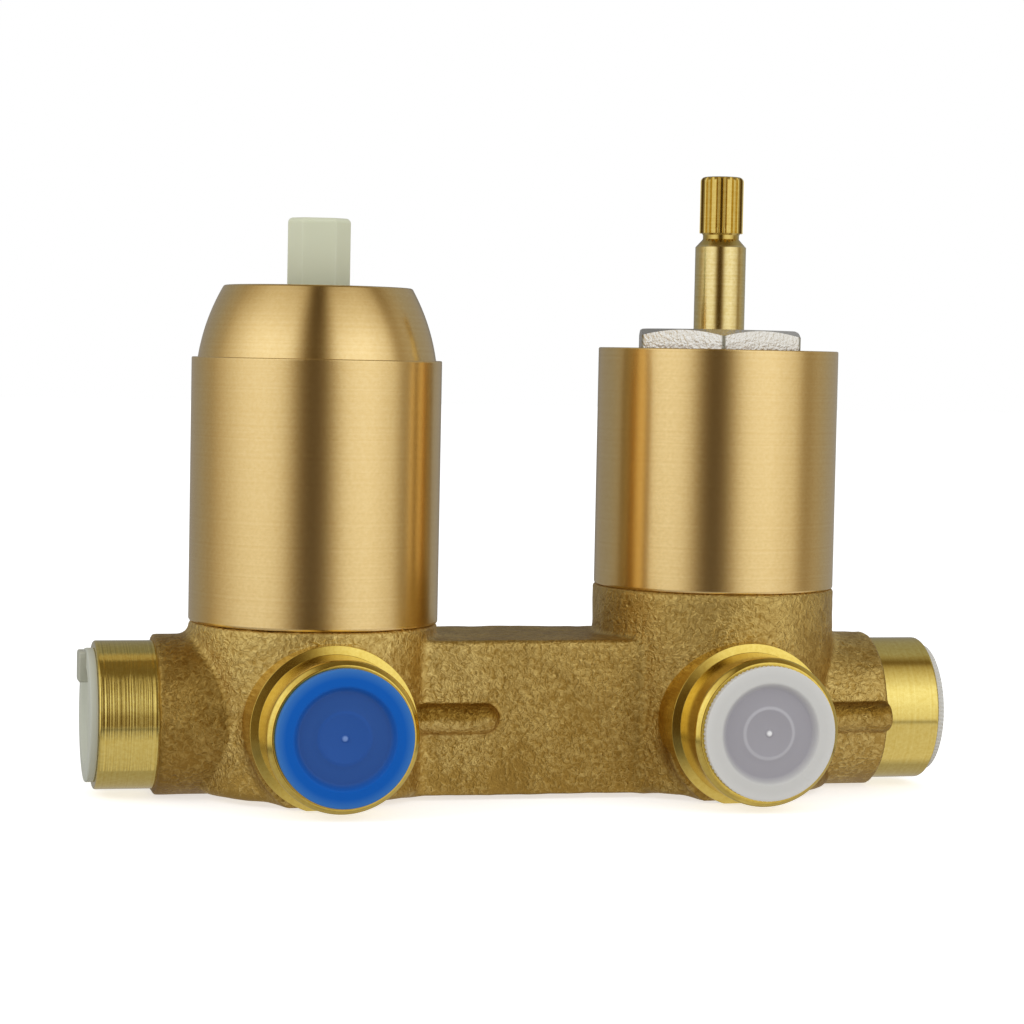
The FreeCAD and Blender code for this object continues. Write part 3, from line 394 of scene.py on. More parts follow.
def dull_plating():
    """Silver plating with the forging's grain as bump; the hexagon's corners, the places farthest from its
    axis, are painted dark as a reflection of the dark gap behind the camera."""
    grain_mm, relief_mm = 0.6, 0.12
    material, tree, shader = new_material("plated_forged_brass")
    place = add(tree, "ShaderNodeTexCoord").outputs["Object"]
    shown = nodes["diverter_bonnet"].data.vertices
    spots = np.empty(len(shown) * 3)
    shown.foreach_get("co", spots)
    spots = spots.reshape(-1, 3)[:, :2] - np.array([diverter_x * mm, 0])
    corner_reach = np.linalg.norm(spots, axis=1).max()
    centred = add(tree, "ShaderNodeMapping", {
        "Vector": place, "Location": (-diverter_x * mm / corner_reach, 0, 0),
        "Scale": (1 / corner_reach, 1 / corner_reach, 0)})
    reach = add(tree, "ShaderNodeVectorMath", {0: centred}, operation="LENGTH").outputs["Value"]
    # painted reflection: the corners, farthest from the axis, are coloured dark
    painted_corner_reflection = add(tree, "ShaderNodeValToRGB", {"Fac": reach})
    for stop, position, colour in zip(painted_corner_reflection.color_ramp.elements, (0.9835, 0.9932), ("#F0EEE8", "#8A8676")):
        stop.position, stop.color = position, linear(colour)
    grain = add(tree, "ShaderNodeTexNoise", {"Vector": place, "Scale": per_metre(grain_mm), "Detail": 3.0})
    bump = add(tree, "ShaderNodeBump", {"Height": grain, "Strength": 1.0, "Distance": relief_mm * mm})
    wire(tree, shader, {"Base Color": painted_corner_reflection, "Normal": bump, "Metallic": 1.0, "Roughness": 0.3})
    return material


# edge (lighter: a painted highlight), rim, web, ring mark, centre and gate dot of each plug: waxy, with
# hardly any shine
plug_colours = {
    "blue": ("#3F7CC6", "#0761C2", "#305AA2", "#2E5CAA", "#2E5CAA", "#7F9FDC"),
    "red": ("#CE5049", "#C0211B", "#8E2F2A", "#963430", "#963430", "#E08A84"),
    "pale": ("#C9CBBD", "#CFD1C2", "#CBCDBE", "#CFD1C2", "#CBCDBE", "#DFE0D5"),
    "white": ("#E2E1DD", "#DBDAD6", "#ADAAB0", "#C4C2C7", "#ADAAB0", "#FFFFFF"),
}
finishes = {"cast_brass": cast_finish, "satin_brass": satin_brass, "turned_brass": spindle_brass}
# plating scatters light in short wrinkles, so the hexagon looks frosted
finishes["plated_brass"] = dull_plating()
for colour_name, colours in plug_colours.items():
    finishes[colour_name + "_polythene"] = moulded_polythene(colour_name + "_moulded_polythene", *colours)
print("finishes so far:", len(finishes))

# %% [markdown]
# The rest are plain: an acetal stem that lets a little light in, and parts that are hidden in use.
# Each gets the colour, roughness and refraction that such a surface has.

# %% Plain materials


def plain(name, colour, roughness, metallic=0.0, ior=1.5, subsurface=0.0):
    """A material that is the same all over."""
    material, tree, shader = new_material(name)
    wire(tree, shader, {
        "Base Color": linear(colour), "Roughness": roughness, "Metallic": metallic, "IOR": ior})
    if subsurface:
        wire(tree, shader, {"Subsurface Weight": subsurface, "Subsurface Radius": (1.0, 1.0, 0.9),
                            "Subsurface Scale": 1.5 * mm})
    return material


# light enters ivory acetal and softens its edges
finishes["ivory_acetal"] = plain("ivory_moulded_acetal", "#E2E5CA", 0.4, ior=1.48, subsurface=0.25)
# grey acetal is matt and even
finishes["grey_acetal"] = plain("grey_moulded_acetal", "#C2C2BF", 0.42, ior=1.48)
# lapping leaves ceramic nearly as smooth as glass
finishes["valve_ceramic"] = plain("lapped_alumina_ceramic", "#E6E3DC", 0.15, ior=1.76)
# rubber swallows light and shows a faint sheen
finishes["black_rubber"] = plain("moulded_black_rubber", "#1B1B1C", 0.6)
# a ground pin has a fine even shine
finishes["pin_steel"] = plain("ground_steel", "#C4C4C6", 0.3, metallic=1.0)
# pressed fibre is as dull as card
finishes["gasket_fibre"] = plain("pressed_red_fibre", "#8A4B3E", 0.8)
for node, shown in nodes.items():
    shown.data.materials.clear()
    shown.data.materials.append(finishes[node_slots[node]])
print("finishes:", len(finishes))

# %% [markdown]
# The casting is one flowing shape: two round bosses, a bar and five port roots, joined by cast fillets.
# It is written as a distance function: each form has its own, and a smooth minimum joins two forms
# with a fillet. The surface is where the distance is zero.

# %% The casting's distance function
boss_overrun = 5
bar_edge, bar_fillet = 1.0, 1.1
collar_start, collar_edge, collar_fillet, collar_top_fillet = 20, 0.5, 0.3, 2.1
root_fillet, rib_fillet, rib_edge = 1.6, 0.7, 0.7


def round_bar(across, along, radius, low, high, edge):
    """Distance to a round bar with rounded ends: across is the distance from its axis."""
    outside = across - radius + edge
    past = np.maximum(low - along, along - high) + edge
    within = np.minimum(np.maximum(outside, past), 0)
    return within + np.hypot(np.maximum(outside, 0), np.maximum(past, 0)) - edge


def join(first, second, fillet):
    """Smooth minimum: the smaller distance, less a bump where the two are within a fillet of each other."""
    near = np.maximum(fillet - np.abs(first - second), 0) / fillet
    return np.minimum(first, second) - near ** 2 * fillet / 4


def side_root(x, y, z, tower_x, side):
    """A port root in front of (side -1) or behind (+1) a tower: a short cone, cast a little lower than
    the turned collar, which leaves a lip below it."""
    across = np.hypot(x - tower_x, z - port_axis + root_drop)
    along = side * y
    flank = across - collar_radius - (root_end - along) * math.tan(side_draft)
    return np.maximum(flank, np.maximum(along - root_end, -along))


def casting(x, y, z):
    """Distance to the casting: bosses, bar, end collars, side roots and ribs joined with fillets."""
    bosses = []
    for tower_x, top in zip((mixer_x, diverter_x), boss_tops):
        across = np.hypot(x - tower_x, y)
        boss = round_bar(across, z, boss_radius, boss_foot, top + boss_overrun, foot_round)
        break_edge = (across - boss_radius + z - top + edge_break) * math.sqrt(0.5)
        bosses.append(np.maximum(np.maximum(boss, z - top), break_edge))
    body = np.minimum(*bosses)
    inside = np.maximum(mixer_x - x, x - diverter_x)
    bar_middle, bar_half = (bar_top + bar_foot) / 2, (bar_top - bar_foot) / 2
    past_y, past_z = np.abs(y) - bar_half_depth + bar_edge, np.abs(z - bar_middle) - bar_half + bar_edge
    bar_outside = np.hypot(np.maximum(past_y, 0), np.maximum(past_z, 0))
    bar = bar_outside + np.minimum(np.maximum(past_y, past_z), 0) - bar_edge
    body = join(body, np.maximum(bar, inside), bar_fillet)
    across = np.hypot(y, z - port_axis)
    upper = np.clip((z - port_axis) / collar_radius, 0, 1) ** 3
    for along, face in ((-x, spout_face), (x, shower_face)):
        collar = round_bar(across, along, collar_radius, collar_start, face, collar_edge)
        body = join(body, collar, collar_fillet + collar_top_fillet * upper)
    for tower_x, side in side_ports:
        body = join(body, side_root(x, y, z, tower_x, side), root_fillet)
    rib_x = np.clip(x, mixer_x, bar_rib_end)
    bar_rib = np.sqrt((x - rib_x) ** 2 + (y + bar_half_depth) ** 2 + (z - rib_height) ** 2) - rib_radius
    body = join(body, bar_rib, rib_fillet)
    across = np.hypot(y + collar_radius, z - port_axis)
    body = join(body, round_bar(across, x, rib_radius, diverter_x, shower_face, rib_edge), rib_fillet)
    return np.maximum(body, -z)


def port_bores(x, y, z):
    """Distance to the five thread bores, which the plugs' spigots enter."""
    ends = np.hypot(y, z - port_axis) - thread_bore
    bores = np.maximum(ends, np.minimum(x + spout_rim, shower_rim - x) - bore_depth)
    for tower_x, side in side_ports:
        bore = np.hypot(x - tower_x, z - port_axis) - thread_bore
        bores = np.minimum(bores, np.maximum(bore, side_rim - bore_depth - side * y))
    return bores


def casting_with_bores(x, y, z):
    """The casting less its bores: the larger of its distance and theirs turned inside out."""
    return np.maximum(casting(x, y, z), -port_bores(x, y, z))


print("distance at the origin:", round(float(casting(0.0, 0.0, 0.0)), 2), "mm")

# %% [markdown]
# Surface nets turn a distance function into a mesh: each grid cell that the surface crosses gets one point,
# the mean of the crossings on its edges, and each crossed grid edge gets a face that joins four cells.
# The points are then pulled onto the surface along its slope.

# %% Surface nets
cube_corners = np.array([[i, j, k] for i in (0, 1) for j in (0, 1) for k in (0, 1)])
cube_edges = np.argwhere(np.triu(np.abs(cube_corners[:, None] - cube_corners).sum(-1) == 1))
pull_sweeps, flattest_slope = 2, 0.25


def crossing_points(field, cells, origin, step):
    """The mean of the edge crossings of each cell, found by straight-line interpolation."""
    values = np.stack([field[tuple((cells + corner).T)] for corner in cube_corners], -1)
    total = np.zeros((len(cells), 3))
    count = np.zeros((len(cells), 1))
    for first, second in cube_edges:
        a, b = values[:, first], values[:, second]
        crossed = (a < 0) != (b < 0)
        share = np.where(crossed, a / np.where(crossed, a - b, 1), 0)[:, None]
        place = cube_corners[first] + share * (cube_corners[second] - cube_corners[first])
        total += place * crossed[:, None]
        count += crossed[:, None]
    return origin + (cells + total / count) * step


def net_faces(inside, ids):
    """One face of four cells for each grid edge that the surface crosses, turned to face outwards."""
    faces = []
    for axis in range(3):
        solid = np.moveaxis(inside, axis, 0)
        cell = np.moveaxis(ids, axis, 0)
        i, j, k = np.argwhere(solid[1:, 1:-1, 1:-1] != solid[:-1, 1:-1, 1:-1]).T
        ring = np.stack([cell[i, j, k], cell[i, j + 1, k], cell[i, j + 1, k + 1], cell[i, j, k + 1]], -1)
        leaves = solid[i, j + 1, k + 1]
        faces.append(np.where(leaves[:, None] == (axis != 1), ring, ring[:, ::-1]))
    return np.concatenate(faces)


def slope(distance, points, step=0.03):
    """Gradient of a distance function at many points, by central differences."""
    columns = []
    for axis in range(3):
        shift = np.zeros(3)
        shift[axis] = step
        columns.append((distance(*(points + shift).T) - distance(*(points - shift).T)) / (2 * step))
    return np.stack(columns, -1)


def surface_net(distance, low, high, step):
    """Points and faces of the surface where a distance function is zero."""
    axes = [np.arange(a, b + step, step) for a, b in zip(low, high)]
    field = distance(*np.meshgrid(*axes, indexing="ij"))
    inside = field < 0
    rows, columns, layers = (size - 1 for size in inside.shape)
    count = sum(inside[i:rows + i, j:columns + j, k:layers + k].astype(int) for i, j, k in cube_corners)
    cells = np.argwhere((count > 0) & (count < 8))
    ids = np.full(count.shape, -1)
    ids[tuple(cells.T)] = np.arange(len(cells))
    points = crossing_points(field, cells, np.array(low, float), step)
    for _ in range(pull_sweeps):
        gradient = slope(distance, points)
        length = np.maximum((gradient ** 2).sum(-1, keepdims=True), flattest_slope)
        move = distance(*points.T)[:, None] * gradient / length
        points = points - np.clip(move, -step / 2, step / 2)
    return points, net_faces(inside, ids)


print("surface nets ready")

# %% [markdown]
# The sand's coarser unevenness is real geometry: each point moves along the slope by a smooth noise,
# worked out from random values on a lattice and blended between its eight corners.

# %% The casting's skin
lattice_size = 32


def lattice_noise(points, size, seed):
    """Random values on a lattice of the given size, blended with a smooth step between its corners."""
    table = np.random.default_rng(seed).uniform(-1, 1, (lattice_size, lattice_size, lattice_size))
    cell = np.floor(points / size)
    part = points / size - cell
    weight = part ** 2 * (3 - 2 * part)
    cell = cell.astype(int)
    total = np.zeros(len(points))
    for corner in cube_corners:
        share = np.abs(1 - corner - weight).prod(-1)
        total += share * table[tuple(((cell + corner) % lattice_size).T)]
    return total


net_step, net_margin, net_foot = 0.52, 1.5, -1.3
coarse_mm, fine_mm = 5.0, 1.9
coarse_depth, fine_depth = 0.09, 0.06
skin_low = np.array([-spout_face - net_margin, -side_face - net_margin, net_foot])
skin_high = np.array([shower_face + net_margin, side_face + net_margin, boss_tops[1] + net_margin])
points, faces = surface_net(casting_with_bores, skin_low, skin_high, net_step)
outward = slope(casting, points)
outward = outward / np.maximum(np.linalg.norm(outward, axis=1, keepdims=True), 0.5)
fine = lattice_noise(points, fine_mm, 4)
uneven = coarse_depth * lattice_noise(points, coarse_mm, 3) + fine_depth * fine
points = points + outward * uneven[:, None]
points[:, 2] = np.maximum(points[:, 2], 0)
for top, side in zip(boss_tops, (points[:, 0] < 0, points[:, 0] >= 0)):
    points[side, 2] = np.minimum(points[side, 2], top)
casting_skin = piece("casting_skin", points, faces, cast_finish, "cast_brass", ["cast_body"], crease=60.0)

# %% [markdown]
# A casting is never one even colour. The collar at the spout's end is browner, the bar faintly stained
# towards the diverter, and the tops of the two ribs are darkened as a painted reflection of the dark
# ceiling above them. Each point keeps its own share.

# %% Tint and painted reflection on the casting
spout_share, bar_share, rib_share = 0.5, 0.3, 0.8
collar_reach, collar_blur = collar_radius + 0.6, 0.35
spout_side, bar_start, bar_blend = mixer_x - 11, mixer_x + 15, 20
rib_front, rib_reach = -bar_half_depth - 0.25, rib_radius + 0.15
rib_tip = bar_rib_end + rib_radius + 0.2
rib_rise, rib_blur, rib_wander = 0.3, 0.5, 0.5
x, y, z = points.T
on_collar = np.clip((collar_reach - np.hypot(y, z - port_axis)) / collar_blur, 0, 1)
spout_darkening = spout_share * on_collar * (x < spout_side)
bar_stain = bar_share * np.clip((x - bar_start) / bar_blend, 0, 1) * (1 - on_collar * (x > diverter_x))
on_ribs = (y < rib_front) & (np.abs(z - rib_height) < rib_reach)
on_ribs &= (x > diverter_x + collar_radius) | ((x > mixer_x) & (x < rib_tip))
# painted reflection: the ribs' upper halves are darkened as if they mirrored the dark ceiling
rib_painted_reflection = rib_share * on_ribs * np.clip((z - rib_height + rib_rise + rib_wander * fine) / rib_blur, 0, 1)
tint_and_painted_reflection = np.maximum(np.maximum(spout_darkening, bar_stain), rib_painted_reflection)
darkening_attribute = casting_skin.data.attributes.new("tint_and_painted_reflection", "FLOAT", "POINT")
darkening_attribute.data.foreach_set("value", tint_and_painted_reflection.astype(np.float32))
print("stained points:", int((tint_and_painted_reflection > 0.5).sum()), "of", len(tint_and_painted_reflection))

# %% [markdown]
# Each port ends in a stub that was turned on a lathe after casting. The front and back ports also have
# a turned collar, a smooth cone that meets the rough boss in a crisp line. Its face slopes a little
# towards the stub, and the stub's rim has a chamfer, so both catch a ring of light.

# %% Turned port ends
port_places = {
    "spout": (mixer_x, (-1, 0, 0), spout_rim + mixer_x, spout_face + mixer_x),
    "shower": (diverter_x, (1, 0, 0), shower_rim - diverter_x, shower_face - diverter_x),
    "cold": (mixer_x, (0, -1, 0), side_rim, side_face),
    "hot": (mixer_x, (0, 1, 0), side_rim, side_face),
    "handset": (diverter_x, (0, -1, 0), side_rim, side_face),
}
end_finishes = {"spout": spout_port_brass, "shower": shower_port_brass}
port_segments = 192
collar_root, stub_root = 11.5, 1.2
shoulder_flare, shoulder_fall, shoulder_lip = 0.35, 0.52, 0.1
rim_chamfer, rim_round, mouth_chamfer = 0.85, 0.45, 0.6


def port_profile(rim, face, collar):
    """Bore, then the collar's cone if it has one, the stub, its rim and back into the bore: rows of
    (radius, height, rounding)."""
    start = face - (collar_root if collar else stub_root)
    outline = [(thread_bore, start, 0)]
    if collar:
        root = collar_radius + (face - start) * math.tan(side_draft)
        outline += [(root + shoulder_flare, start, 0),
                    (collar_radius + shoulder_flare, face - shoulder_fall, 0.06),
                    (stub_radius, face - shoulder_lip, 0.05),
                    (stub_radius, rim - rim_chamfer, 0.3), (stub_radius - rim_chamfer, rim, 0.15)]
    else:
        outline += [(stub_radius, start, 0), (stub_radius, rim, rim_round)]
    outline += [(thread_bore + mouth_chamfer, rim, 0.2), (thread_bore, rim - mouth_chamfer, 0)]
    return rounded_outline(outline)


for port, (tower_x, direction, rim, face) in port_places.items():
    grid = turn(port_profile(rim, face, direction[0] == 0), port_segments)
    grid = aim(grid, (tower_x, 0, port_axis), direction)
    grid[..., 2] = np.maximum(grid[..., 2], 0)
    piece(port + "_port_end", *skin(grid), end_finishes.get(port, side_port_brass), "cast_brass")

# %% [markdown]
# Under the sleeves the towers are turned necks with two grooves for rings. They are hidden,
# except for the top of the diverter's neck round the hexagon.

# %% Turned necks
neck_segments = 160
sleeve_wall, neck_gap = 1.5, 0.3
groove_depth, groove_half = 1.6, 1.15
neck_start, seat_depth = 1, 5.5
nut_drop, nut_runout, nut_room = 0.6, 0.5, 0.1
cartridge_bore, chamber_bore = 17.7, 13.1
nut_low, nut_high = box_mm("cartridge_ring_nut")
seat = box_mm("cartridge_base")[1][2] - seat_depth
gasket_foot = box_mm("bonnet_gasket")[0][2]
seal_foot = box_mm("diverter_seat_seal")[0][2]


def neck_profile(bottom, top, radius, bore, floor, ring_heights, thread=None):
    """A turned neck: outside with ring grooves, top face, bore and the floor of the bore."""
    outline = [(0, bottom), (radius, bottom)]
    for height in ring_heights:
        outline += [(radius, height - groove_half), (radius - groove_depth, height - groove_half),
                    (radius - groove_depth, height + groove_half), (radius, height + groove_half)]
    outline += [(radius, top), (thread[0] if thread else bore, top)]
    if thread:
        outline += [thread, (bore, thread[1])]
    outline += [(bore, floor), (0, floor)]
    return np.array(outline, float)


mixer_neck_radius = mixer_sleeve_radius - sleeve_wall - neck_gap
diverter_neck_radius = diverter_sleeve_radius - sleeve_wall - neck_gap
nut_thread = ((nut_high[0] - nut_low[0]) / 2 + nut_room, nut_low[2] - nut_runout)
mixer_rings = mixer_low[2] + np.array([4.6, 28.0])
diverter_rings = diverter_low[2] + np.array([3.0, 30.0])
mixer_neck = neck_profile(
    mixer_low[2] - neck_start, nut_high[2] - nut_drop, mixer_neck_radius, cartridge_bore, seat,
    mixer_rings, nut_thread)
diverter_neck = neck_profile(
    diverter_low[2] - neck_start, gasket_foot, diverter_neck_radius, chamber_bore, seal_foot, diverter_rings)
for name, profile, x in (("mixer_neck", mixer_neck, mixer_x), ("diverter_neck", diverter_neck, diverter_x)):
    grid = turn(profile, neck_segments) + np.array([x, 0, 0])
    piece(name, *skin(grid, closed_profile=False), finishes["turned_brass"], "cast_brass")

# %% [markdown]
# The two sleeves are plain tubes with a satin finish from fine turning, and the dome is turned too.
# A small round breaks each edge and draws the thin lines of light and dark in the photograph.

# %% Sleeves and dome
sleeve_segments = 256
dome_wall, dome_mouth, dome_lip_gap = 2.2, 12.4, 0.2
waist_share, waist_in, crown_in = 6.8 / 12.9, 1.7, 4.5
mouth_step, waist_drop = 0.5, 1
dome_arc_steps = 26


def sleeve_profile(radius, bottom, top):
    """A tube wall with rounded edges."""
    bore = radius - sleeve_wall
    return rounded_outline([
        (bore, bottom, 0.2), (radius, bottom, 0.5), (radius, top, 0.3), (bore, top, 0.3)])


def arc_through(start, middle, stop, steps):
    """Points on the circle through three (radius, height) points, from the first to the last."""
    a, b, c = (np.array(p, float) for p in (start, middle, stop))
    rows = np.array([b - a, c - a])
    centre = np.linalg.solve(2 * rows, np.array([b @ b - a @ a, c @ c - a @ a]))
    first, last = (np.arctan2(*(p - centre)[::-1]) for p in (a, c))
    angle = np.linspace(first, last, steps)
    return centre + np.linalg.norm(a - centre) * np.stack([np.cos(angle), np.sin(angle)], -1)


def dome_profile():
    """Outer arc from the shoulder to the crown, mouth, inner arc and the lip inside the sleeve."""
    low, high = box_mm("mixer_dome_cap")
    seat_height, crown = mixer_high[2], high[2]
    base = (high[0] - low[0]) / 2
    waist = seat_height + (crown - seat_height) * waist_share
    middle, edge = (base - waist_in, waist), (base - crown_in, crown)
    outer = arc_through((base, seat_height), middle, edge, dome_arc_steps)
    under = crown - dome_wall
    crown_edge = rounded_outline(
        [(*outer[-2], 0), (*outer[-1], 0.35), (dome_mouth, crown, 0.3), (dome_mouth, under, 0),
         (dome_mouth + mouth_step, under, 0)], closed=False)
    inner = [(base - crown_in - dome_wall, under), (base - waist_in - dome_wall, waist - waist_drop),
             (base - dome_wall, seat_height)]
    lip = mixer_sleeve_radius - sleeve_wall - dome_lip_gap
    foot = [(base - dome_wall, low[2]), (lip, low[2]), (lip, seat_height)]
    return np.concatenate([outer[:-2], crown_edge, inner, foot])


mixer_tube = sleeve_profile(mixer_sleeve_radius, mixer_low[2], mixer_high[2])
diverter_tube = sleeve_profile(diverter_sleeve_radius, diverter_low[2], diverter_high[2])
for name, profile, x, node, finish in (
        ("mixer_sleeve_skin", mixer_tube, mixer_x, "mixer_sleeve", satin_brass),
        ("diverter_sleeve_skin", diverter_tube, diverter_x, "diverter_sleeve", satin_brass),
        ("mixer_dome_skin", dome_profile(), mixer_x, "mixer_dome_cap", dome_brass)):
    grid = turn(profile, sleeve_segments) + np.array([x, 0, 0])
    piece(name, *skin(grid), finish, "satin_brass", [node])

# %% [markdown]
# The transport plugs are push-in mouldings: a flange, a dished face with a thin web, a faint ring
# and the bright dot left by the moulding gate. The two white plugs also have a milled edge to grip,
# which is a ripple on the flange's radius.

# %% Transport plugs
flange_thickness, dish_depth, web_thickness = 1.5, 1.1, 1.2
spigot_depth, spigot_root, spigot_tip, hollow_radius = 9.0, 9.16, 8.27, 7.07
dish_start, dish_foot, dish_edge = 6.0, 8.05, 8.9
gate_rows = np.array([(0, 0.35), (0.35, 0.3), (0.6, 0.12), (0.75, 0)])
ring_rows = np.array([(3.95, 0), (4.15, 0.1), (4.4, 0.1), (4.6, 0)])
mill_teeth, samples_per_tooth, mill_depth = 94, 6, 0.16
mill_inset, mill_top_gap, face_depth = 0.15, 0.1, 1.0
plug_names = {"cold": "cold_inlet", "hot": "hot_inlet", "spout": "spout_outlet",
              "handset": "handset_outlet", "shower": "shower_outlet"}


def plug_profile():
    """From the gate dot over the dish, the flange and the spigot into the hollow behind the web."""
    floor = flange_thickness - dish_depth
    marks = np.concatenate([gate_rows, ring_rows]) + np.array([0, floor])
    face = rounded_outline([
        (dish_start, floor, 0), (dish_foot, floor, 0.3), (dish_edge, flange_thickness, 0.3),
        (flange_radius, flange_thickness, 0.3), (flange_radius, 0, 0.2), (spigot_root, 0, 0),
        (spigot_tip, -spigot_depth, 0.2), (hollow_radius, -spigot_depth, 0.2),
        (hollow_radius, floor - web_thickness, 0)], closed=False)
    return np.concatenate([marks, face, [(0, floor - web_thickness)]])


profile = plug_profile()
segments = mill_teeth * samples_per_tooth
turns = np.arange(segments)[:, None] / samples_per_tooth
on_edge = (profile[:, 0] > flange_radius - mill_inset) & (profile[:, 1] < flange_thickness - mill_top_gap)
ripple = -mill_depth * (0.5 - 0.5 * np.cos(2 * np.pi * turns)) * on_edge
milled, smooth = turn(profile, segments, ripple), turn(profile, port_segments)
for port, name in plug_names.items():
    tower_x, direction, rim, face = port_places[port]
    axis = np.array(direction, float)
    centre = np.array([tower_x, 0, port_axis]) + axis * rim
    node = name + "_plug"
    slot = node_slots[node]
    points, faces = skin(aim(milled if slot == "white_polythene" else smooth, centre, axis), False)
    made = piece(node + "_moulding", points, faces, finishes[slot], slot, [node])
    offset = points - centre
    along = offset @ axis
    across = np.linalg.norm(offset - along[:, None] * axis, axis=1)
    reach = np.where(along > -face_depth, across / flange_radius, 1)
    made.data.attributes.new("reach", "FLOAT", "POINT").data.foreach_set("value", reach.astype(np.float32))

# %% [markdown]
# The spout's plug has a pull tab on its upper edge. A box with soft edges is a superellipsoid:
# a sphere whose sines and cosines are raised to a small power, which pushes it out towards its box.

# %% Pull tab
tab_length, tab_width, tab_power = 5.6, 5.0, 0.22
tab_columns, tab_rows = 96, 49


def soften(values):
    """Raises the size of each value to the tab's small power and keeps its sign."""
    return np.sign(values) * np.abs(values) ** tab_power


tab_front = box_mm("spout_outlet_plug")[0][0]
tab_back = -spout_rim - flange_thickness + dish_depth
tab_top = port_axis + flange_radius - flange_thickness / 4
tab_centre = np.array([(tab_front + tab_back) / 2, 0, tab_top - tab_length / 2])
tab_half = np.array([(tab_back - tab_front) / 2, tab_width / 2, tab_length / 2])
around, rise = np.meshgrid(
    np.linspace(0, 2 * np.pi, tab_columns, endpoint=False),
    np.linspace(-np.pi / 2, np.pi / 2, tab_rows), indexing="ij")
ring = soften(np.cos(rise))
grid = np.stack([ring * soften(np.cos(around)), ring * soften(np.sin(around)), soften(np.sin(rise))], -1)
grid[np.abs(np.cos(rise)) < 1e-9, :2] = 0
# a thin tab lets the dark bore behind it dull its colour
tab_polythene = plain("thin_moulded_polythene", "#B7B7A6", 0.4)
tab_skin = skin(tab_centre + tab_half * grid, False)
piece("spout_pull_tab", *tab_skin, tab_polythene, "pale_polythene", ["spout_outlet_plug"])

# %% [markdown]
# The camera stands in front and to the left, a little above, as in the photograph.
# Its place was found by fitting the outlines of the towers and ports.

# %% Camera


def facing(azimuth, elevation):
    """Directions by azimuth a and elevation e: x = sin a cos e, y = -cos a cos e, z = sin e."""
    reach = np.cos(elevation)
    return np.stack([np.sin(azimuth) * reach, -np.cos(azimuth) * reach, np.sin(elevation)], -1)


camera_azimuth, camera_elevation, camera_roll = (math.radians(v) for v in (-13.422, 3.136, 1.137))
camera_distance = 519.497
camera_aim = Vector((0, 0, 50.9))
aim_right, aim_up = -1.104, -0.268
focal_pixels = 2827.09
picture_pixels = 1024
back = Vector(facing(camera_azimuth, camera_elevation))
level = Vector((math.cos(camera_azimuth), math.sin(camera_azimuth), 0))
upright = back.cross(level)
right = level * math.cos(camera_roll) + upright * math.sin(camera_roll)
upward = upright * math.cos(camera_roll) - level * math.sin(camera_roll)
eye = camera_aim + right * aim_right + upward * aim_up + back * camera_distance
camera = put_in_scene("camera", bpy.data.cameras.new("camera"))
camera.data.sensor_width = 36
camera.data.lens = focal_pixels / picture_pixels * camera.data.sensor_width
camera.data.clip_start = 0.01
camera.matrix_world = Matrix.LocRotScale(eye * mm, Matrix((right, upward, back)).transposed(), None)
bpy.context.scene.camera = camera
print("camera at", [round(v, 1) for v in eye], "lens", round(camera.data.lens, 2))

# %% [markdown]
# Bright metal shows what stands round it. A painted dome, seen only in reflections, stands for the studio:
# a soft light on either side, the dark gap behind the camera, a dark ceiling, a grey room behind
# and a pale table below. Its brightness is given by bearing, measured from the camera's side, and by height.

# %% Brightness of the studio
side_light = np.array([
    (-180, 0.16), (-158, 0.30), (-130, 0.31), (-103, 0.37), (-90, 0.56), (-66, 0.90), (-50, 0.98),
    (-38, 0.95), (0, 0.93), (30, 0.98), (52, 1.02), (64, 0.88), (76, 0.75), (87, 0.36), (93, 0.31),
    (104, 0.41), (130, 0.36), (158, 0.33), (180, 0.16)])
height_light = np.array([
    (-14, 0.88), (-5, 0.97), (0, 1.0), (10, 1.1), (22, 1.16), (29, 1.12), (37, 0.93), (52, 0.7), (65, 0.5)])
gap_reach = np.array([(0, 24.0), (10, 19.0), (30, 17.5), (60, 15.0)])
gap_middle, gap_depth = -2, 0.92
ceiling_colour, zenith_colour = np.array([0.17, 0.13, 0.07]), np.array([0.45, 0.38, 0.27])
ceiling_start, ceiling_blend, zenith_start, zenith_blend = 60, 9, 96, 4
table_tint = np.array([1.0, 0.95, 0.92])
table_start, table_blend = -13, 4
table_level, table_front = 0.44, 0.16
front_fade = (95, 125)
warm_green, warm_blue = 0.18, 0.55
foot_fade, foot_level = (-90, -40), (0.9, 1)
line_height, line_width, line_depth = -18.5, 2.2, 0.3
shade_reach, shade_depth, shade_foot, shade_blend = 13, 0.75, -36, 14


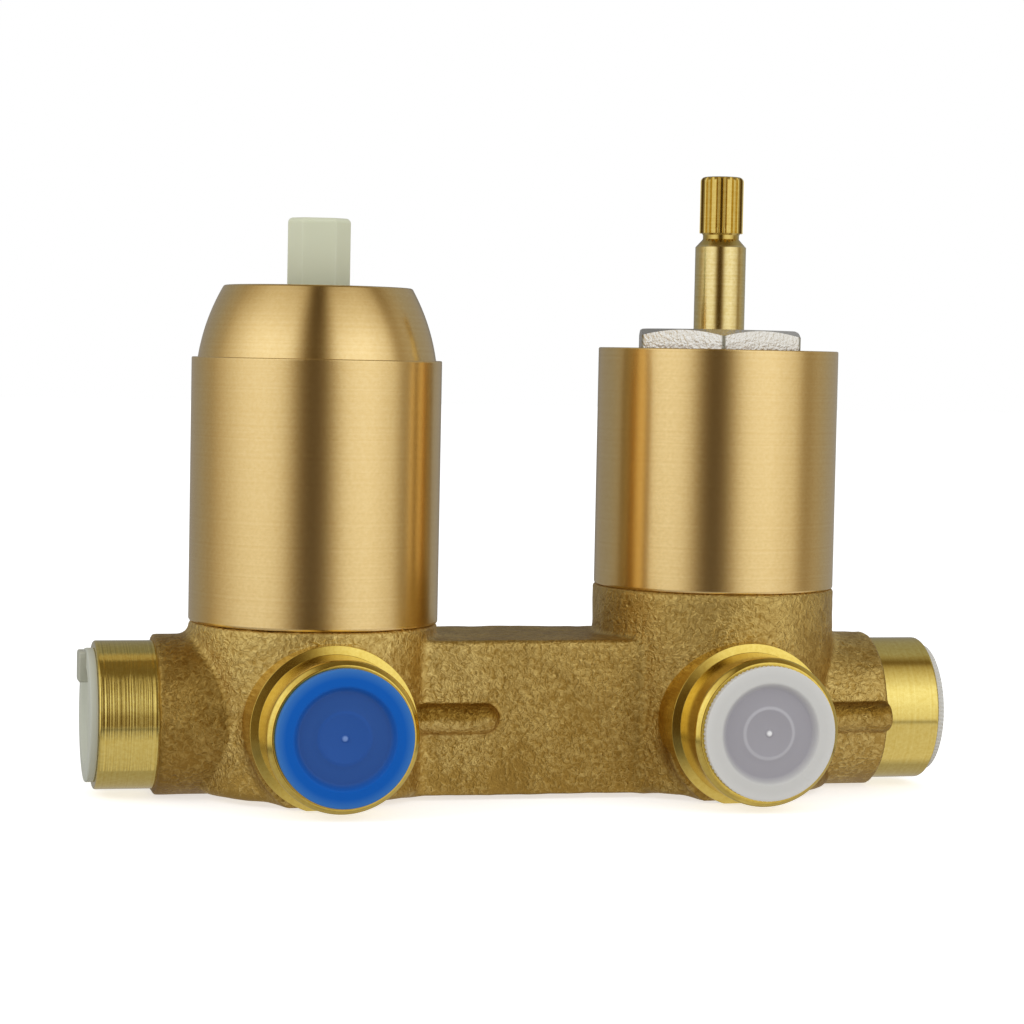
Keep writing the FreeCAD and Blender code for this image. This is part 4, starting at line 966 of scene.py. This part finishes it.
def studio_light(bearing, height):
    """Colour of the dome: side light times height light, less the gap behind the camera, warm where dim
    in front and neutral behind, with a ceiling that is dark in front and a table with a dark edge."""
    front = np.interp(np.abs(bearing), front_fade, (1, 0))
    off_gap = np.abs(bearing - gap_middle)
    gap = gap_depth * np.exp(-(off_gap / np.interp(height, *gap_reach.T)) ** 3)
    value = np.interp(bearing, *side_light.T) * np.interp(height, *height_light.T) ** front * (1 - gap)
    wall = np.stack([value, value ** (1 + warm_green * front), value ** (1 + warm_blue * front)], -1)
    turned, lift = np.radians(bearing), np.radians(height)
    overhead = np.degrees(np.arctan2(np.sin(lift), np.cos(turned) * np.cos(lift)))
    past = np.clip((overhead - zenith_start) / zenith_blend, 0, 1)[..., None]
    ceiling = np.clip((height - ceiling_start) / ceiling_blend, 0, 1)[..., None]
    wall = wall * (1 - ceiling) + (ceiling_colour * (1 - past) + zenith_colour * past) * ceiling
    table = table_level + table_front * front * (1 + np.sin(turned))
    table = table * np.interp(height, foot_fade, foot_level)
    table = table - line_depth * np.exp(-((height - line_height) / line_width) ** 2)
    shade = shade_depth * np.exp(-(off_gap / shade_reach) ** 3)
    table = table * (1 - shade * np.clip((height - shade_foot) / shade_blend, 0, 1))
    table = table[..., None] * table_tint
    below = np.clip((table_start - height) / table_blend, 0, 1)[..., None]
    return wall * (1 - below) + table * below


bearing_steps, height_steps = 241, 121
bearing, height = np.meshgrid(
    np.linspace(-180, 180, bearing_steps), np.linspace(-90, 90, height_steps), indexing="ij")
light = studio_light(bearing, height)
print("dome brightness", round(float(light.min()), 2), "to", round(float(light.max()), 2))

# %% [markdown]
# The dome is a sphere round the object whose points carry that brightness as a colour.
# It glows in reflections only, so it neither lights matt surfaces nor hides the white background.

# %% Studio dome
object_centre = np.array([0, 0, 45.0])
dome_radius = 600.0
grid = facing(np.radians(bearing) + camera_azimuth, np.radians(height))
index = np.arange(bearing.size).reshape(bearing.shape)
quads = np.stack([index[:-1, :-1], index[1:, :-1], index[1:, 1:], index[:-1, 1:]], -1).reshape(-1, 4)
dome_points = (object_centre + dome_radius * grid.reshape(-1, 3)) * mm
dome_mesh = bpy.data.meshes.new("studio_dome")
dome_mesh.from_pydata(dome_points.tolist(), [], quads.tolist())
glow = np.concatenate([light.reshape(-1, 3), np.ones((bearing.size, 1))], 1)
glow_attribute = dome_mesh.attributes.new("glow", "FLOAT_COLOR", "POINT")
glow_attribute.data.foreach_set("color", glow.ravel().astype(np.float32))
dome_paint, tree, shader = new_material("studio_dome_paint")
paint = add(tree, "ShaderNodeAttribute", attribute_name="glow")
wire(tree, shader, {"Base Color": (0, 0, 0, 1), "Specular IOR Level": 0,
                    "Emission Color": paint, "Emission Strength": 1.0})
dome_paint.cycles.emission_sampling = "NONE"
dome_mesh.materials.append(dome_paint)
studio_dome = put_in_scene("studio_dome", dome_mesh)
studio_dome.visible_camera = studio_dome.visible_diffuse = False
studio_dome.visible_shadow = studio_dome.visible_transmission = False
print("dome of", len(dome_points), "points")

# %% [markdown]
# The floor is pale and keeps the shadow. The world is white where the camera or a reflection sees it
# and softer where it lights matt surfaces.

# %% Floor and world


def seen_directly(tree):
    """The largest of three light path flags: 1 for camera, mirror and see-through rays, 0 for others."""
    path = add(tree, "ShaderNodeLightPath")
    seen = path.outputs["Is Camera Ray"]
    for ray in ("Is Glossy Ray", "Is Transmission Ray"):
        seen = add(tree, "ShaderNodeMath", {0: seen, 1: path.outputs[ray]}, operation="MAXIMUM")
    return seen


floor_half, floor_height = 4.0, -0.4 * mm
floor_glow, world_softness = 0.62, 0.6
floor_mesh = bpy.data.meshes.new("floor")
floor_signs = ((-1, -1), (1, -1), (1, 1), (-1, 1))
floor_corners = [(a * floor_half, b * floor_half, floor_height) for a, b in floor_signs]
floor_mesh.from_pydata(floor_corners, [], [(0, 1, 2, 3)])
floor = put_in_scene("floor", floor_mesh)
floor.visible_glossy = False
# matt paper: no shine, so only the soft contact shadow shows
floor_paper, tree, shader = new_material("white_paper")
glow = add(tree, "ShaderNodeMath", {0: seen_directly(tree), 1: floor_glow}, operation="MULTIPLY")
wire(tree, shader, {
    "Base Color": linear("#F2F2F2"), "Roughness": 0.9, "Specular IOR Level": 0.0,
    "Emission Color": (1, 1, 1, 1), "Emission Strength": glow})
floor_mesh.materials.append(floor_paper)

world = bpy.data.worlds.new("studio")
bpy.context.scene.world = world
world.use_nodes = True
tree = world.node_tree
tree.nodes.clear()
soft = add(tree, "ShaderNodeBackground", {"Color": (1, 1, 1, 1), "Strength": world_softness})
white = add(tree, "ShaderNodeBackground", {"Color": (1, 1, 1, 1), "Strength": 1.0})
blend = add(tree, "ShaderNodeMixShader", {0: seen_directly(tree), 1: soft, 2: white})
add(tree, "ShaderNodeOutputWorld", {"Surface": blend})
print("floor", 2 * floor_half, "m wide")

# %% [markdown]
# Two soft lamps give the plastic some shape. They are left out of reflections, which have the dome.

# %% Lamps
lamp_height, lamp_distance, lamp_size, lamp_power = 30, 0.75, 0.4, 0.9


def lamp(name, bearing):
    """A square soft lamp that faces the object, placed by its bearing from the camera's side."""
    outward = Vector(facing(math.radians(bearing) + camera_azimuth, math.radians(lamp_height)))
    light = bpy.data.lights.new(name, "AREA")
    light.size = lamp_size
    light.energy = lamp_power
    made = put_in_scene(name, light)
    made.location = Vector(object_centre * mm) + outward * lamp_distance
    made.rotation_mode = "QUATERNION"
    made.rotation_quaternion = outward.to_track_quat("Z", "Y")
    made.visible_glossy = False


lamp("left_soft_light", -55)
lamp("right_soft_light", 50)
print("lamps of", lamp_power, "W set")

# %% [markdown]
# The picture keeps plain colours: the Standard view leaves a colour as it is written.

# %% Finish
bpy.context.scene.view_settings.view_transform = "Standard"
